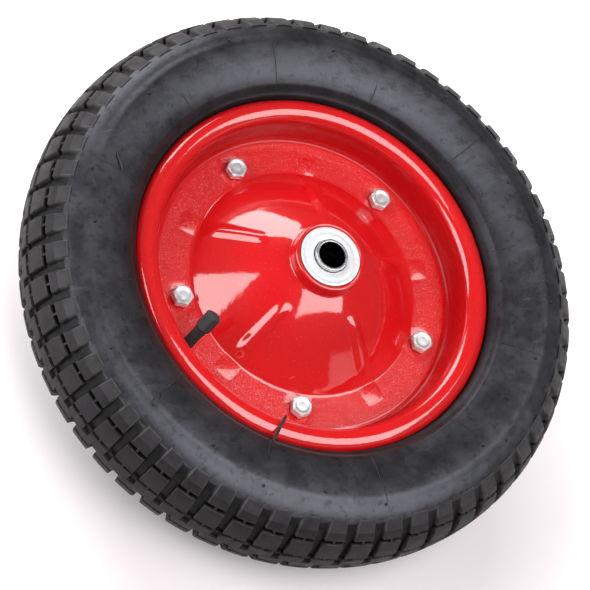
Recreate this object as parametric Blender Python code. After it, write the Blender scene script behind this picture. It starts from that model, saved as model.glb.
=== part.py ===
"""Pneumatic wheelbarrow wheel: block-tread tyre with an inner tube on a bolted two-piece
pressed steel rim, which turns on two sealed ball bearings.

Metres, +Z up. The wheel's middle is at the origin and it spins about +Z. The front side, with
the bolt heads and the valve, faces +Z, and bolt 1 is on +X.
"""

import math

import bmesh
import bpy
import numpy as np
from mathutils import Matrix, Vector

# Working clearances between neighbouring pieces
SEAT_GAP = 0.0003
BEAD_GAP = 0.0004
TUBE_GAP = 0.0006

# Pressed rim: two halves of the same sheet, back to back at the middle plane. The other radii
# step out and in from the web's outer edge.
RIM_SHEET = 0.0015
WEB_OUTER_R = 0.0948
WEB_WIDTH = 0.0213
SEAT_STEP = 0.0050
SEAT_FILLET = 0.0030
FLANGE_REACH = 0.0152
CREST_STEP = 0.0092
FLANGE_CREST_Z = 0.0257
FLANGE_CURL = 0.0067
FLANGE_DROOP = 0.0015

# Dome of each half, an arc of revolution from the web's fold up to the collar
DOME_TOP_R = 0.0236
DOME_TOP_Z = 0.0393
DOME_ARC = 0.1495

# Stamped ribs and pads, midway between the bolts
BOLT_COUNT = 5
RIB_HEIGHT = 0.0016
RIB_START_R = 0.0295
RIB_RUN_IN = 0.0040
RIB_HALF_INNER = 0.0035
RIB_HALF_OUTER = 0.0050
PAD_HALF = 0.0065
PAD_LENGTH = 0.0115
RIB_WALL = 0.0018

# Folded collar and bearing cup
COLLAR_FOLD = 0.0015
COLLAR_TOP_Z = 0.0449
CUP_SHOULDER_R = 0.0160
CUP_SHOULDER_Z = 0.0323

# Fasteners, M8
BOLT_MARGIN = 0.0091
SHANK_R = 0.0040
HOLE_CLEARANCE = 0.00045
HEX_ACROSS = 0.0120
HEAD_HEIGHT = 0.0052
HEAD_CHAMFER = 0.0009
HEAD_DISH_R = 0.0042
HEAD_DISH_DEPTH = 0.0007
HEAD_TURNS_DEG = (40, 0, 0, 0, 0)
WASHER_R = 0.0069
WASHER_THICK = 0.0021
WASHER_SLIT = 0.22
NUT_HEIGHT = 0.0065
SHANK_TAIL = 0.0018

# Bearings: a sleeve-type inner ring that stands out of a flat shield
BORE_R = 0.0082
SLEEVE_WALL = 0.0021
LAND_RISE = 0.0016
BEARING_WIDTH = 0.0110
BALL_R = 0.0030
BALL_COUNT = 7
INNER_LAND_STEP = 0.0023
OUTER_LAND_STEP = 0.0025
OUTER_RING_WALL = 0.0024
RACE_GAP = 0.0004
SLEEVE_REACH = 0.0025
SHIELD_THICK = 0.0008
SHIELD_CLEARANCE = 0.0005
CAGE_HALF_WIDTH = 0.0010
CAGE_BACK = 0.0014
CAGE_SLOPE = 0.0007
SPACER_CLEARANCE = 0.0002
SPACER_WALL = 0.0024

# Tyre section: it widens from the flange to the widest place and then rises to the crown
SIDE_REACH = 0.0330
CROWN_RISE = 0.0300
SECTION_HALF = 0.0385
CROWN_POWER = 2.1
LOWER_POWER = 1.6
UPPER_SHARE = 0.3
SIDE_SHARES = (1.0, 0.58, 0.22, 0.0)
CARCASS_CROWN = 0.0067
CARCASS_SIDE = 0.0043
CARCASS_LOW = 0.0050
CARCASS_FOOT_SHARE = 0.7
CARCASS_SHOULDER = (0.68, 0.80)
CARCASS_MIDDLE = (0.12, 0.32)
BEAD_WIDTH = 0.0145
RUBBER_LEDGE = 0.0009

# Tread: two staggered halves of blocks on each side of a notched middle rib
PITCHES = 58
GROOVE_PHASE = -0.32
RIB_EDGE_Z = 0.0065
NOTCH_END_Z = 0.0006
NOTCH_SLOPE = 0.0005
MID_START_Z = 0.0100
MID_END_Z = 0.0225
SHOULDER_START_Z = 0.0256
SHOULDER_CROWN_Z = 0.0300
SHOULDER_END_Z = 0.0352
TREAD_DEPTH = 0.0035
RIB_GROOVE_DEG = 1.86
MID_GROOVE_DEG = 1.76
SHOULDER_GROOVE_DEG = 1.96

# Inner tube
TUBE_WALL = 0.0020
TUBE_LIFT = 0.0026
TUBE_FOOT_Z = 0.0103

# Valve: its line leaves the rim's front wall and leans towards the axle
VALVE_TURN_DEG = 19.98
VALVE_STEP = 0.0037
VALVE_ROOT_Z = 0.0080
VALVE_RISE_DEG = 51.92
VALVE_SKEW_DEG = -9.1
VALVE_LENGTH = 0.02946
STEM_ROOT_R = 0.00385
STEM_TIP_R = 0.00340
STEM_FOOT_R = 0.0022
STEM_FOOT = 0.0082
STEM_SHOULDER = 0.0006
CAP_LENGTH = 0.0120
CAP_ACROSS = 0.0090
CAP_ROUND = 0.0030
CAP_ROOF = 0.00125
CORE_R = 0.0024
CORE_START = 0.0040
CORE_HEAD_ROOM = 0.0012
CORE_BORE_R = 0.0010
AIR_WAY_R = 0.0009
PIN_R = 0.0006
PIN_LENGTH = 0.0055
PIN_PROUD = 0.0007
VALVE_HOLE_GAP = 0.00045
TUBE_HOLE_GAP = 0.0004

# Facets round a full turn
HUB_STEPS = 18
FASTENER_STEPS = 10
VALVE_STEPS = 12
CARCASS_STEPS = PITCHES // 2
SECTOR_STEPS = 8

# Sizes that follow from the ones above
DOME_FOLD_R = WEB_OUTER_R - WEB_WIDTH
PAD_END_R = DOME_FOLD_R + PAD_LENGTH
BOLT_CIRCLE_R = DOME_FOLD_R + BOLT_MARGIN
SEAT_WALL_R = WEB_OUTER_R + SEAT_STEP
FLANGE_R = SEAT_WALL_R + FLANGE_REACH
FLANGE_CREST_R = SEAT_WALL_R + CREST_STEP
WIDEST_R = FLANGE_R + SIDE_REACH
TREAD_R = WIDEST_R + CROWN_RISE
TUBE_INNER_R = SEAT_WALL_R + TUBE_LIFT
VALVE_ROOT_R = WEB_OUTER_R + VALVE_STEP
WEB_BACK_Z = SEAT_GAP / 2
WEB_FRONT_Z = WEB_BACK_Z + RIM_SHEET
SLEEVE_R = BORE_R + SLEEVE_WALL
INNER_LAND_R = SLEEVE_R + LAND_RISE
RACE_PITCH_R = INNER_LAND_R + INNER_LAND_STEP
OUTER_LAND_R = RACE_PITCH_R + OUTER_LAND_STEP
BEARING_OD_R = OUTER_LAND_R + OUTER_RING_WALL
SHIELD_HOLE_R = SLEEVE_R + SHIELD_CLEARANCE
SPACER_BORE_R = BORE_R + SPACER_CLEARANCE
SPACER_R = SPACER_BORE_R + SPACER_WALL
CUP_R = BEARING_OD_R + SEAT_GAP
COLLAR_R = CUP_R + 2 * RIM_SHEET
BEARING_START_Z = CUP_SHOULDER_Z + SEAT_GAP
BEARING_END_Z = BEARING_START_Z + BEARING_WIDTH
BALL_Z = BEARING_START_Z + BEARING_WIDTH / 2
SHIELD_Z = BEARING_END_Z + SEAT_GAP
SLEEVE_END_Z = SHIELD_Z + SHIELD_THICK + SLEEVE_REACH
INNER_GROOVE_R = RACE_PITCH_R - BALL_R - RACE_GAP
OUTER_GROOVE_R = (RACE_PITCH_R + BALL_R + RACE_GAP) / math.cos(math.pi / HUB_STEPS)
PITCH = 2 * math.pi / PITCHES
SECTOR = 2 * math.pi / BOLT_COUNT


def clear_scene():
    """Removes what the new file starts with."""
    for item in list(bpy.data.objects):
        bpy.data.objects.remove(item, do_unlink=True)


def material(name, color, roughness, metallic=0.0, coat=0.0):
    """Makes one plain Principled BSDF material."""
    made = bpy.data.materials.new(name)
    made.use_nodes = True
    made.diffuse_color = (*color, 1.0)
    shader = made.node_tree.nodes["Principled BSDF"]
    shader.inputs["Base Color"].default_value = (*color, 1.0)
    shader.inputs["Roughness"].default_value = roughness
    shader.inputs["Metallic"].default_value = metallic
    shader.inputs["Coat Weight"].default_value = coat
    return made


def finish(bm, name, surface, place=None, angle=32, hollow=()):
    """Turns a bmesh into a named, shaded object with outward faces.

    The faces in hollow line a closed space inside it, so they are turned the other way.
    """
    bmesh.ops.recalc_face_normals(bm, faces=bm.faces)
    if hollow:
        bmesh.ops.reverse_faces(bm, faces=hollow)
    mesh = bpy.data.meshes.new(name)
    bm.to_mesh(mesh)
    bm.free()
    mesh.materials.append(surface)
    mesh.shade_smooth()
    mesh.set_sharp_from_angle(angle=math.radians(angle))
    made = bpy.data.objects.new(name, mesh)
    bpy.context.collection.objects.link(made)
    if place is not None:
        made.matrix_world = place
    return made


def ring(bm, radius, z, angles):
    """Adds one ring of points at the given angles; radius and z may vary along it."""
    radius = np.broadcast_to(radius, len(angles))
    z = np.broadcast_to(z, len(angles))
    points = zip(radius * np.cos(angles), radius * np.sin(angles), z)
    return [bm.verts.new(point) for point in points]


def even(count, phase=0.0):
    """Equal angles round the axis."""
    return phase + np.arange(count) * 2 * math.pi / count


def band(bm, low, high):
    """Joins two rings with the same number of points by four-sided faces."""
    count = len(low)
    for i in range(count):
        j = (i + 1) % count
        bm.faces.new((low[i], low[j], high[j], high[i]))


def stitch(bm, low, high):
    """Joins two rings with different numbers of points, walking both by angle."""
    turned = []
    for points in (low, high):
        angles = [math.atan2(p.co.y, p.co.x) % (2 * math.pi) for p in points]
        first = int(np.argmin(angles))
        order = points[first:] + points[:first]
        walk = angles[first:] + angles[:first]
        turned.append((order + [order[0]], walk + [walk[0] + 2 * math.pi]))
    (low, a), (high, b) = turned
    i = j = 0
    while i < len(low) - 1 or j < len(high) - 1:
        low_left = i < len(low) - 1
        high_left = j < len(high) - 1
        if low_left and (not high_left or a[i] + a[i + 1] <= b[j] + b[j + 1]):
            bm.faces.new((low[i], low[i + 1], high[j]))
            i += 1
        else:
            bm.faces.new((low[i], high[j + 1], high[j]))
            j += 1


def join(bm, low, high):
    """Joins two neighbouring rings, whatever their numbers of points."""
    if len(low) == len(high):
        band(bm, low, high)
    else:
        stitch(bm, low, high)


def wrap(bm, rings):
    """Joins the rings of a hollow body, the last one back to the first."""
    for low, high in zip(rings, rings[1:] + rings[:1]):
        join(bm, low, high)


def cap_ends(bm, rings):
    """Joins the rings of a solid body and closes both ends."""
    for low, high in zip(rings, rings[1:]):
        join(bm, low, high)
    bm.faces.new(rings[0])
    bm.faces.new(rings[-1])


def turned_part(name, profile, surface, steps, side=1, place=None):
    """Spins a closed profile of (radius, z) points about Z."""
    bm = bmesh.new()
    points = [bm.verts.new((r, 0.0, side * z)) for r, z in profile]
    edges = [bm.edges.new(pair) for pair in zip(points, points[1:] + points[:1])]
    bmesh.ops.spin(
        bm,
        geom=points + edges,
        cent=(0, 0, 0),
        axis=(0, 0, 1),
        angle=2 * math.pi,
        steps=steps,
        use_merge=True,
    )
    return finish(bm, name, surface, place)


def offset_line(points, distance):
    """Moves an open line of (radius, z) points to its left, with mitred corners."""
    points = np.array(points, float)
    steps = np.diff(points, axis=0)
    steps /= np.linalg.norm(steps, axis=1)[:, None]
    normals = np.stack([-steps[:, 1], steps[:, 0]], axis=1)
    before = np.vstack([normals[:1], normals])
    after = np.vstack([normals, normals[-1:]])
    mitre = before + after
    mitre /= (mitre * before).sum(axis=1)[:, None]
    return points + distance * mitre


def offset_loop(points, distance):
    """Moves a closed loop of (radius, z) points to its left, with mitred corners."""
    closed = [points[-1], *points, points[0]]
    return offset_line(closed, distance)[1:-1]


def cylinder_cutter(name, radius, start, end, places, steps):
    """Makes a hidden cutter with one cylinder at each place."""
    bm = bmesh.new()
    for place in places:
        bmesh.ops.create_cone(
            bm,
            cap_ends=True,
            segments=steps,
            radius1=radius,
            radius2=radius,
            depth=end - start,
            matrix=place @ Matrix.Translation((0, 0, (start + end) / 2)),
        )
    mesh = bpy.data.meshes.new(name)
    bm.to_mesh(mesh)
    bm.free()
    cutter = bpy.data.objects.new(name, mesh)
    bpy.context.collection.objects.link(cutter)
    cutter.hide_render = True
    cutter.display_type = "WIRE"
    return cutter


def cut(target, cutter):
    """Subtracts a cutter with an exact Boolean."""
    modifier = target.modifiers.new("cut_" + cutter.name, "BOOLEAN")
    modifier.operation = "DIFFERENCE"
    modifier.solver = "EXACT"
    modifier.object = cutter


def polar(radius, angle, z=0.0):
    """A placement on a circle about Z, turned to face outward."""
    return Matrix.Rotation(angle, 4, "Z") @ Matrix.Translation((radius, 0, z))


def valve_frame():
    """The valve's own frame: origin on the rim's wall, +Z along the stem towards the cap."""
    turn = math.radians(VALVE_TURN_DEG)
    rise = math.radians(VALVE_RISE_DEG)
    skew = math.radians(VALVE_SKEW_DEG)
    outward = Vector((math.cos(turn), math.sin(turn), 0))
    around = Vector((-math.sin(turn), math.cos(turn), 0))
    up = Vector((0, 0, 1))
    line = math.cos(skew) * (math.sin(rise) * up - math.cos(rise) * outward)
    line += math.sin(skew) * around
    root = VALVE_ROOT_R * outward + VALVE_ROOT_Z * up
    side = line.cross(around).normalized()
    basis = Matrix((side, line.cross(side), line)).transposed()
    return Matrix.Translation(root) @ basis.to_4x4()


# Rim halves


def dome_centre():
    """Centre of the dome's arc, from its two ends and its radius."""
    top = np.array((DOME_TOP_R, DOME_TOP_Z))
    fold = np.array((DOME_FOLD_R, WEB_FRONT_Z))
    chord = fold - top
    length = np.linalg.norm(chord)
    inward = np.array((chord[1], -chord[0])) / length
    return (top + fold) / 2 + inward * math.sqrt(DOME_ARC**2 - length**2 / 4)


def dome_z(radius, offset=0.0):
    """Height of the dome's front face at a radius, or of a face offset from it."""
    centre = dome_centre()
    return centre[1] + math.sqrt((DOME_ARC + offset) ** 2 - (radius - centre[0]) ** 2)


def rib_half_width(radius):
    """Half width of a rib's top, which widens from the hub to the pad on the web."""
    if radius > DOME_FOLD_R - RIB_WALL:
        return PAD_HALF
    share = (radius - RIB_START_R) / (DOME_FOLD_R - RIB_START_R)
    return RIB_HALF_INNER + share * (RIB_HALF_OUTER - RIB_HALF_INNER)


def sheet_angles(radius, ribbed):
    """Angles of the sheet's columns: four for each rib, the others spread between."""
    angles = []
    for k in range(BOLT_COUNT):
        start = (k - 0.5) * SECTOR
        if ribbed:
            half = rib_half_width(radius)
            top = half / radius
            foot = (half + RIB_WALL) / radius
            quarter = SECTOR / 12
            middle = (quarter + SECTOR / 2 - foot) / 2
            inner = np.array((top, foot, SECTOR / 2 - middle, SECTOR / 2 - quarter))
            spread = np.concatenate((inner, SECTOR - inner[::-1]))
        else:
            spread = (np.arange(SECTOR_STEPS) + 0.5) * SECTOR / SECTOR_STEPS
        angles.append(start + spread)
    return np.concatenate(angles)


def sheet_line():
    """Front face of the pressed sheet from the rib's start to the flange's edge."""
    mid_dome = (RIB_START_R + RIB_RUN_IN + DOME_FOLD_R) / 2
    dome = [RIB_START_R, RIB_START_R + RIB_RUN_IN, mid_dome]
    wall_top_z = FLANGE_CREST_Z - FLANGE_CURL
    line = [(r, dome_z(r)) for r in dome]
    line += [
        (DOME_FOLD_R, WEB_FRONT_Z),
        (PAD_END_R, WEB_FRONT_Z),
        (PAD_END_R + RIB_WALL, WEB_FRONT_Z),
        (WEB_OUTER_R, WEB_FRONT_Z),
        (SEAT_WALL_R - RIM_SHEET, WEB_FRONT_Z + SEAT_FILLET),
        (SEAT_WALL_R, wall_top_z),
        (SEAT_WALL_R + FLANGE_CURL / 2, FLANGE_CREST_Z - FLANGE_CURL / 4),
        (FLANGE_CREST_R, FLANGE_CREST_Z),
        (FLANGE_R, FLANGE_CREST_Z - FLANGE_DROOP),
    ]
    return line


def sheet_rings(bm, offset, side):
    """Rings of one face of the sheet, with the ribs and pads pressed forward."""
    line = sheet_line()
    plain = offset_line(line, offset)
    raised = offset_line(line, offset + RIB_HEIGHT)
    rings = []
    for row, (radius, _) in enumerate(line):
        ribbed = radius < WEB_OUTER_R + RIB_WALL
        angles = sheet_angles(min(radius, PAD_END_R + RIB_WALL), ribbed)
        on_rib = np.zeros(len(angles), bool)
        if 0 < row and radius <= PAD_END_R:
            on_rib.reshape(BOLT_COUNT, SECTOR_STEPS)[:, [0, -1]] = True
        points = np.where(on_rib[:, None], raised[row], plain[row])
        rings.append(ring(bm, points[:, 0], side * points[:, 1], angles))
    return rings


def rim_half(name, surface, side):
    """One pressed half: flange, seat, web, ribbed dome, folded collar and bearing cup."""
    bm = bmesh.new()
    hub = even(HUB_STEPS)
    cup_back_r = CUP_R + RIM_SHEET
    lip_z = COLLAR_TOP_Z - COLLAR_FOLD
    fold_r = CUP_R + COLLAR_FOLD
    slant = COLLAR_FOLD * math.sqrt(0.5)
    hub_profile = [
        (cup_back_r, dome_z(cup_back_r, -RIM_SHEET)),
        (cup_back_r, CUP_SHOULDER_Z - RIM_SHEET),
        (CUP_SHOULDER_R, CUP_SHOULDER_Z - RIM_SHEET),
        (CUP_SHOULDER_R, CUP_SHOULDER_Z),
        (CUP_R, CUP_SHOULDER_Z),
        (CUP_R, lip_z),
        (fold_r - slant, lip_z + slant),
        (fold_r, COLLAR_TOP_Z),
        (COLLAR_R - COLLAR_FOLD + slant, lip_z + slant),
        (COLLAR_R, lip_z),
        (COLLAR_R, dome_z(COLLAR_R)),
    ]
    hub_rings = [ring(bm, r, side * z, hub) for r, z in hub_profile]
    front = sheet_rings(bm, 0.0, side)
    back = sheet_rings(bm, -RIM_SHEET, side)
    wrap(bm, front + back[::-1] + hub_rings)
    return finish(bm, name, surface)


# Fasteners


def hex_ring(bm, across, z):
    """Six corners of a hexagon, one of them straight out from the hub."""
    return ring(bm, across / math.sqrt(3), z, even(6))


def bolt(name, surface, place):
    """Hexagon bolt with a chamfered, dished head; its origin is under the head."""
    bm = bmesh.new()
    around = even(FASTENER_STEPS)
    grip = 2 * WEB_FRONT_Z + 3 * SEAT_GAP + WASHER_THICK + NUT_HEIGHT
    end = -(grip + SHANK_TAIL)
    rings = [
        ring(bm, SHANK_R - HEAD_CHAMFER, end, around),
        ring(bm, SHANK_R, end + HEAD_CHAMFER, around),
        ring(bm, SHANK_R, 0, around),
        hex_ring(bm, HEX_ACROSS, 0),
        hex_ring(bm, HEX_ACROSS, HEAD_HEIGHT - HEAD_CHAMFER),
        ring(bm, HEX_ACROSS / 2 - HEAD_CHAMFER / 2, HEAD_HEIGHT, around),
        ring(bm, HEAD_DISH_R, HEAD_HEIGHT - HEAD_DISH_DEPTH, around),
    ]
    cap_ends(bm, rings)
    return finish(bm, name, surface, place)


def spring_washer(name, surface, place):
    """Split spring washer: a ring of square section with a slit."""
    bm = bmesh.new()
    angles = np.linspace(WASHER_SLIT, 2 * math.pi - WASHER_SLIT, FASTENER_STEPS)
    bore = SHANK_R + HOLE_CLEARANCE
    sections = []
    for angle in angles:
        turn = Matrix.Rotation(angle, 3, "Z")
        corners = [(bore, 0), (WASHER_R, 0), (WASHER_R, -WASHER_THICK), (bore, -WASHER_THICK)]
        sections.append([bm.verts.new(turn @ Vector((r, 0, z))) for r, z in corners])
    cap_ends(bm, sections)
    return finish(bm, name, surface, place)


def nut(name, surface, place):
    """Hexagon nut with a round bore and chamfered corners on its outer side."""
    bm = bmesh.new()
    around = even(FASTENER_STEPS)
    bore = SHANK_R + SEAT_GAP
    face_r = HEX_ACROSS / 2 - HEAD_CHAMFER / 2
    rings = [
        ring(bm, bore, 0, around),
        hex_ring(bm, HEX_ACROSS, 0),
        hex_ring(bm, HEX_ACROSS, -(NUT_HEIGHT - HEAD_CHAMFER)),
        ring(bm, face_r, -NUT_HEIGHT, around),
        ring(bm, bore, -NUT_HEIGHT, around),
    ]
    wrap(bm, rings)
    return finish(bm, name, surface, place)


# Bearings


def outer_ring(name, surface, side):
    """Outer ring with a ball groove, a sliding fit in the cup."""
    depth = OUTER_GROOVE_R - OUTER_LAND_R
    half = min(BALL_R + depth / 4, BEARING_WIDTH / 2 - RACE_GAP)
    profile = [
        (OUTER_LAND_R, BEARING_START_Z),
        (BEARING_OD_R, BEARING_START_Z),
        (BEARING_OD_R, BEARING_END_Z),
        (OUTER_LAND_R, BEARING_END_Z),
        (OUTER_LAND_R, BALL_Z + half),
        (OUTER_GROOVE_R, BALL_Z),
        (OUTER_LAND_R, BALL_Z - half),
    ]
    return turned_part(name, profile, surface, HUB_STEPS, side)


def inner_ring(name, surface, side):
    """Inner ring with a ball groove; its sleeve stands out through the shield."""
    half = min(BALL_R + RACE_GAP / 2, BEARING_WIDTH / 2 - RACE_GAP)
    shoulder_z = SHIELD_Z - SEAT_GAP - RACE_GAP
    profile = [
        (BORE_R, BEARING_START_Z),
        (INNER_LAND_R, BEARING_START_Z),
        (INNER_LAND_R, BALL_Z - half),
        (INNER_GROOVE_R, BALL_Z),
        (INNER_LAND_R, BALL_Z + half),
        (INNER_LAND_R, shoulder_z),
        (SLEEVE_R, shoulder_z),
        (SLEEVE_R, SLEEVE_END_Z),
        (BORE_R, SLEEVE_END_Z),
    ]
    return turned_part(name, profile, surface, HUB_STEPS, side)


def cage(name, surface, side):
    """Crown cage: a ring on the outer side of the balls with a prong between each two."""
    bm = bmesh.new()
    ball_angle = math.asin((BALL_R + RACE_GAP) / RACE_PITCH_R)
    ball_pitch = 2 * math.pi / BALL_COUNT
    prong_start = ball_angle + CAGE_SLOPE / RACE_PITCH_R
    spread = np.array((-ball_angle, ball_angle, prong_start, ball_pitch - prong_start))
    angles = np.concatenate([k * ball_pitch + spread for k in range(BALL_COUNT)])
    pocket_z = BALL_Z + BALL_R + RACE_GAP
    prong_z = BALL_Z - BALL_R / 2
    low = np.tile((pocket_z, pocket_z, prong_z, prong_z), BALL_COUNT)
    high = pocket_z + CAGE_BACK
    inner_r = RACE_PITCH_R - CAGE_HALF_WIDTH
    outer_r = RACE_PITCH_R + CAGE_HALF_WIDTH
    rings = [
        ring(bm, inner_r, side * low, angles),
        ring(bm, outer_r, side * low, angles),
        ring(bm, outer_r, side * high, angles),
        ring(bm, inner_r, side * high, angles),
    ]
    wrap(bm, rings)
    return finish(bm, name, surface)


def shield(name, surface, side):
    """Flat disc in front of the bearing, clear of the turning sleeve."""
    disc_r = CUP_R - SEAT_GAP
    profile = [
        (SHIELD_HOLE_R, SHIELD_Z),
        (disc_r, SHIELD_Z),
        (disc_r, SHIELD_Z + SHIELD_THICK),
        (SHIELD_HOLE_R, SHIELD_Z + SHIELD_THICK),
    ]
    return turned_part(name, profile, surface, HUB_STEPS, side)


def ball(name, surface, place):
    """One bearing ball, its origin at its centre."""
    bm = bmesh.new()
    bmesh.ops.create_uvsphere(bm, u_segments=8, v_segments=4, radius=BALL_R)
    return finish(bm, name, surface, place, angle=80)


def bearing(where, steel, zinc, plastic, side):
    """All pieces of one bearing."""
    outer_ring(where + "_outer_ring", steel, side)
    inner_ring(where + "_inner_ring", zinc, side)
    cage(where + "_cage", plastic, side)
    shield(where + "_shield", zinc, side)
    for k in range(BALL_COUNT):
        place = polar(RACE_PITCH_R, k * 2 * math.pi / BALL_COUNT, side * BALL_Z)
        ball(f"{where}_ball_{k + 1}", steel, place)


# Tyre


def crown_r(z):
    """Radius of the tread's crown at a distance from the middle plane."""
    share = 1 - (abs(z) / SECTION_HALF) ** CROWN_POWER
    return WIDEST_R + CROWN_RISE * share ** (1 / CROWN_POWER)


def crown_z(radius):
    """The same crown curve the other way round: distance from the middle plane."""
    share = 1 - ((radius - WIDEST_R) / CROWN_RISE) ** CROWN_POWER
    return SECTION_HALF * share ** (1 / CROWN_POWER)


def tread_ring(bm, radius, z, groove_deg, phase):
    """Two points for each pitch, on the two edges of its groove."""
    half = math.radians(groove_deg) / 2
    centres = phase + np.arange(PITCHES) * PITCH
    angles = np.stack([centres - half, centres + half], axis=1).ravel()
    return ring(bm, radius, z, angles)


def over_grooves(bm, low, high):
    """Faces between two tread rings across the grooves."""
    for i in range(0, len(low), 2):
        bm.faces.new((low[i], low[i + 1], high[i + 1], high[i]))


def over_blocks(bm, low, high):
    """Faces between two tread rings across the blocks."""
    for i in range(1, len(low), 2):
        j = (i + 1) % len(low)
        bm.faces.new((low[i], low[j], high[j], high[i]))


def groove_walls(bm, *rings):
    """Side walls of the blocks, one face through the same point of each ring."""
    for corners in zip(*rings):
        bm.faces.new(corners)


def tread_half(bm, side, phase):
    """Half of the tread; returns its ring at the middle rib and its ring at the sidewall."""

    def top(z, groove_deg):
        return tread_ring(bm, crown_r(z), side * z, groove_deg, phase)

    def floor(z, groove_deg, depth):
        return tread_ring(bm, crown_r(z) - depth, side * z, groove_deg, phase)

    slot_1_z = (RIB_EDGE_Z + MID_START_Z) / 2
    slot_2_z = (MID_END_Z + SHOULDER_START_Z) / 2
    rib_end = top(NOTCH_END_Z, RIB_GROOVE_DEG)
    rib_floor = floor(NOTCH_END_Z + NOTCH_SLOPE, RIB_GROOVE_DEG, TREAD_DEPTH)
    rib_edge = top(RIB_EDGE_Z, RIB_GROOVE_DEG)
    slot_1 = floor(slot_1_z, RIB_GROOVE_DEG, TREAD_DEPTH)
    mid_start = top(MID_START_Z, MID_GROOVE_DEG)
    mid_end = top(MID_END_Z, MID_GROOVE_DEG)
    slot_2 = floor(slot_2_z, MID_GROOVE_DEG, TREAD_DEPTH)
    shoulder_start = top(SHOULDER_START_Z, SHOULDER_GROOVE_DEG)
    shoulder_crown = top(SHOULDER_CROWN_Z, SHOULDER_GROOVE_DEG)
    shoulder_end = top(SHOULDER_END_Z, SHOULDER_GROOVE_DEG)
    foot_z = SHOULDER_END_Z - RUBBER_LEDGE
    foot_r = crown_r(SHOULDER_END_Z) - RUBBER_LEDGE
    foot = tread_ring(bm, foot_r, side * foot_z, SHOULDER_GROOVE_DEG, phase)

    over_blocks(bm, rib_end, rib_edge)
    over_blocks(bm, rib_edge, slot_1)
    over_grooves(bm, rib_end, rib_floor)
    over_grooves(bm, rib_floor, slot_1)
    groove_walls(bm, rib_end, rib_edge, slot_1, rib_floor)

    over_blocks(bm, slot_1, mid_start)
    over_blocks(bm, mid_start, mid_end)
    over_blocks(bm, mid_end, slot_2)
    over_grooves(bm, slot_1, slot_2)
    groove_walls(bm, slot_1, mid_start, mid_end, slot_2)

    over_blocks(bm, slot_2, shoulder_start)
    over_blocks(bm, shoulder_start, shoulder_crown)
    over_blocks(bm, shoulder_crown, shoulder_end)
    over_blocks(bm, shoulder_end, foot)
    over_grooves(bm, slot_2, foot)
    groove_walls(bm, slot_2, shoulder_start, shoulder_crown, shoulder_end, foot)
    return rib_end, foot


def bead_r():
    """Bead radius, far enough out that its facets clear the rim's seat."""
    return (SEAT_WALL_R + RIM_SHEET + BEAD_GAP) / math.cos(math.pi / CARCASS_STEPS)


def lower_side(share):
    """A point of the outer sidewall between the flange (0) and the widest place (1)."""
    start = np.array((FLANGE_R + 3 * RIM_SHEET, FLANGE_CREST_Z + 2 * RIM_SHEET))
    radius = start[0] + share * (WIDEST_R - start[0])
    bulge = (1 - (1 - share) ** LOWER_POWER) ** (1 / LOWER_POWER)
    return radius, start[1] + bulge * (SECTION_HALF - start[1])


def sidewall_profile():
    """Outer side of the tyre from below the shoulder blocks down to the bead's toe."""
    upper_r = WIDEST_R + UPPER_SHARE * CROWN_RISE
    seat = bead_r()
    crest_back = FLANGE_CREST_Z - RIM_SHEET
    return [
        (upper_r, crown_z(upper_r) - RUBBER_LEDGE),
        *(lower_side(share) for share in SIDE_SHARES),
        (FLANGE_R + 3 * BEAD_GAP, FLANGE_CREST_Z - BEAD_GAP),
        (FLANGE_R + 2 * BEAD_GAP, crest_back - FLANGE_DROOP - 2 * BEAD_GAP),
        (FLANGE_CREST_R - RIM_SHEET, crest_back - 3 * BEAD_GAP),
        (seat + BEAD_GAP, crest_back - FLANGE_CURL / 2 - 3 * BEAD_GAP),
        (seat, FLANGE_CREST_Z - BEAD_WIDTH),
    ]


def carcass_half():
    """Inside of the tyre from the bead up to the crown's middle, without the toe."""
    crown_in = TREAD_R - CARCASS_CROWN
    side_in = SECTION_HALF - CARCASS_SIDE
    low_r, low_z = lower_side(SIDE_SHARES[2])
    toe_z = FLANGE_CREST_Z - BEAD_WIDTH
    rise = crown_in - WIDEST_R
    shoulder_up, shoulder_out = CARCASS_SHOULDER
    middle_down, middle_out = CARCASS_MIDDLE
    return [
        (bead_r() + CARCASS_LOW, toe_z + CARCASS_LOW / 4),
        (low_r - CARCASS_LOW, low_z - 2 * CARCASS_LOW),
        (low_r + CARCASS_LOW, low_z - CARCASS_FOOT_SHARE * CARCASS_LOW),
        (WIDEST_R, side_in),
        (WIDEST_R + shoulder_up * rise, shoulder_out * side_in),
        (crown_in - middle_down * CARCASS_CROWN, middle_out * side_in),
    ]


def tyre(surface):
    """The whole tyre as one closed body: tread, sidewalls, beads and inside."""
    bm = bmesh.new()
    phase = math.radians(GROOVE_PHASE)
    front_rib, front_foot = tread_half(bm, 1, phase)
    rear_rib, rear_foot = tread_half(bm, -1, phase + PITCH / 2)
    stitch(bm, front_rib, rear_rib)
    around = even(CARCASS_STEPS, phase)
    outside = sidewall_profile()
    inside = carcass_half()
    mirrored = [(r, -z) for r, z in inside[::-1]]
    line = outside + inside + mirrored + [(r, -z) for r, z in outside[::-1]]
    rings = [ring(bm, r, z, around) for r, z in line]
    for low, high in zip(rings, rings[1:]):
        band(bm, low, high)
    stitch(bm, front_foot, rings[0])
    stitch(bm, rear_foot, rings[-1])
    return finish(bm, "tyre", surface, angle=40)


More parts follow.
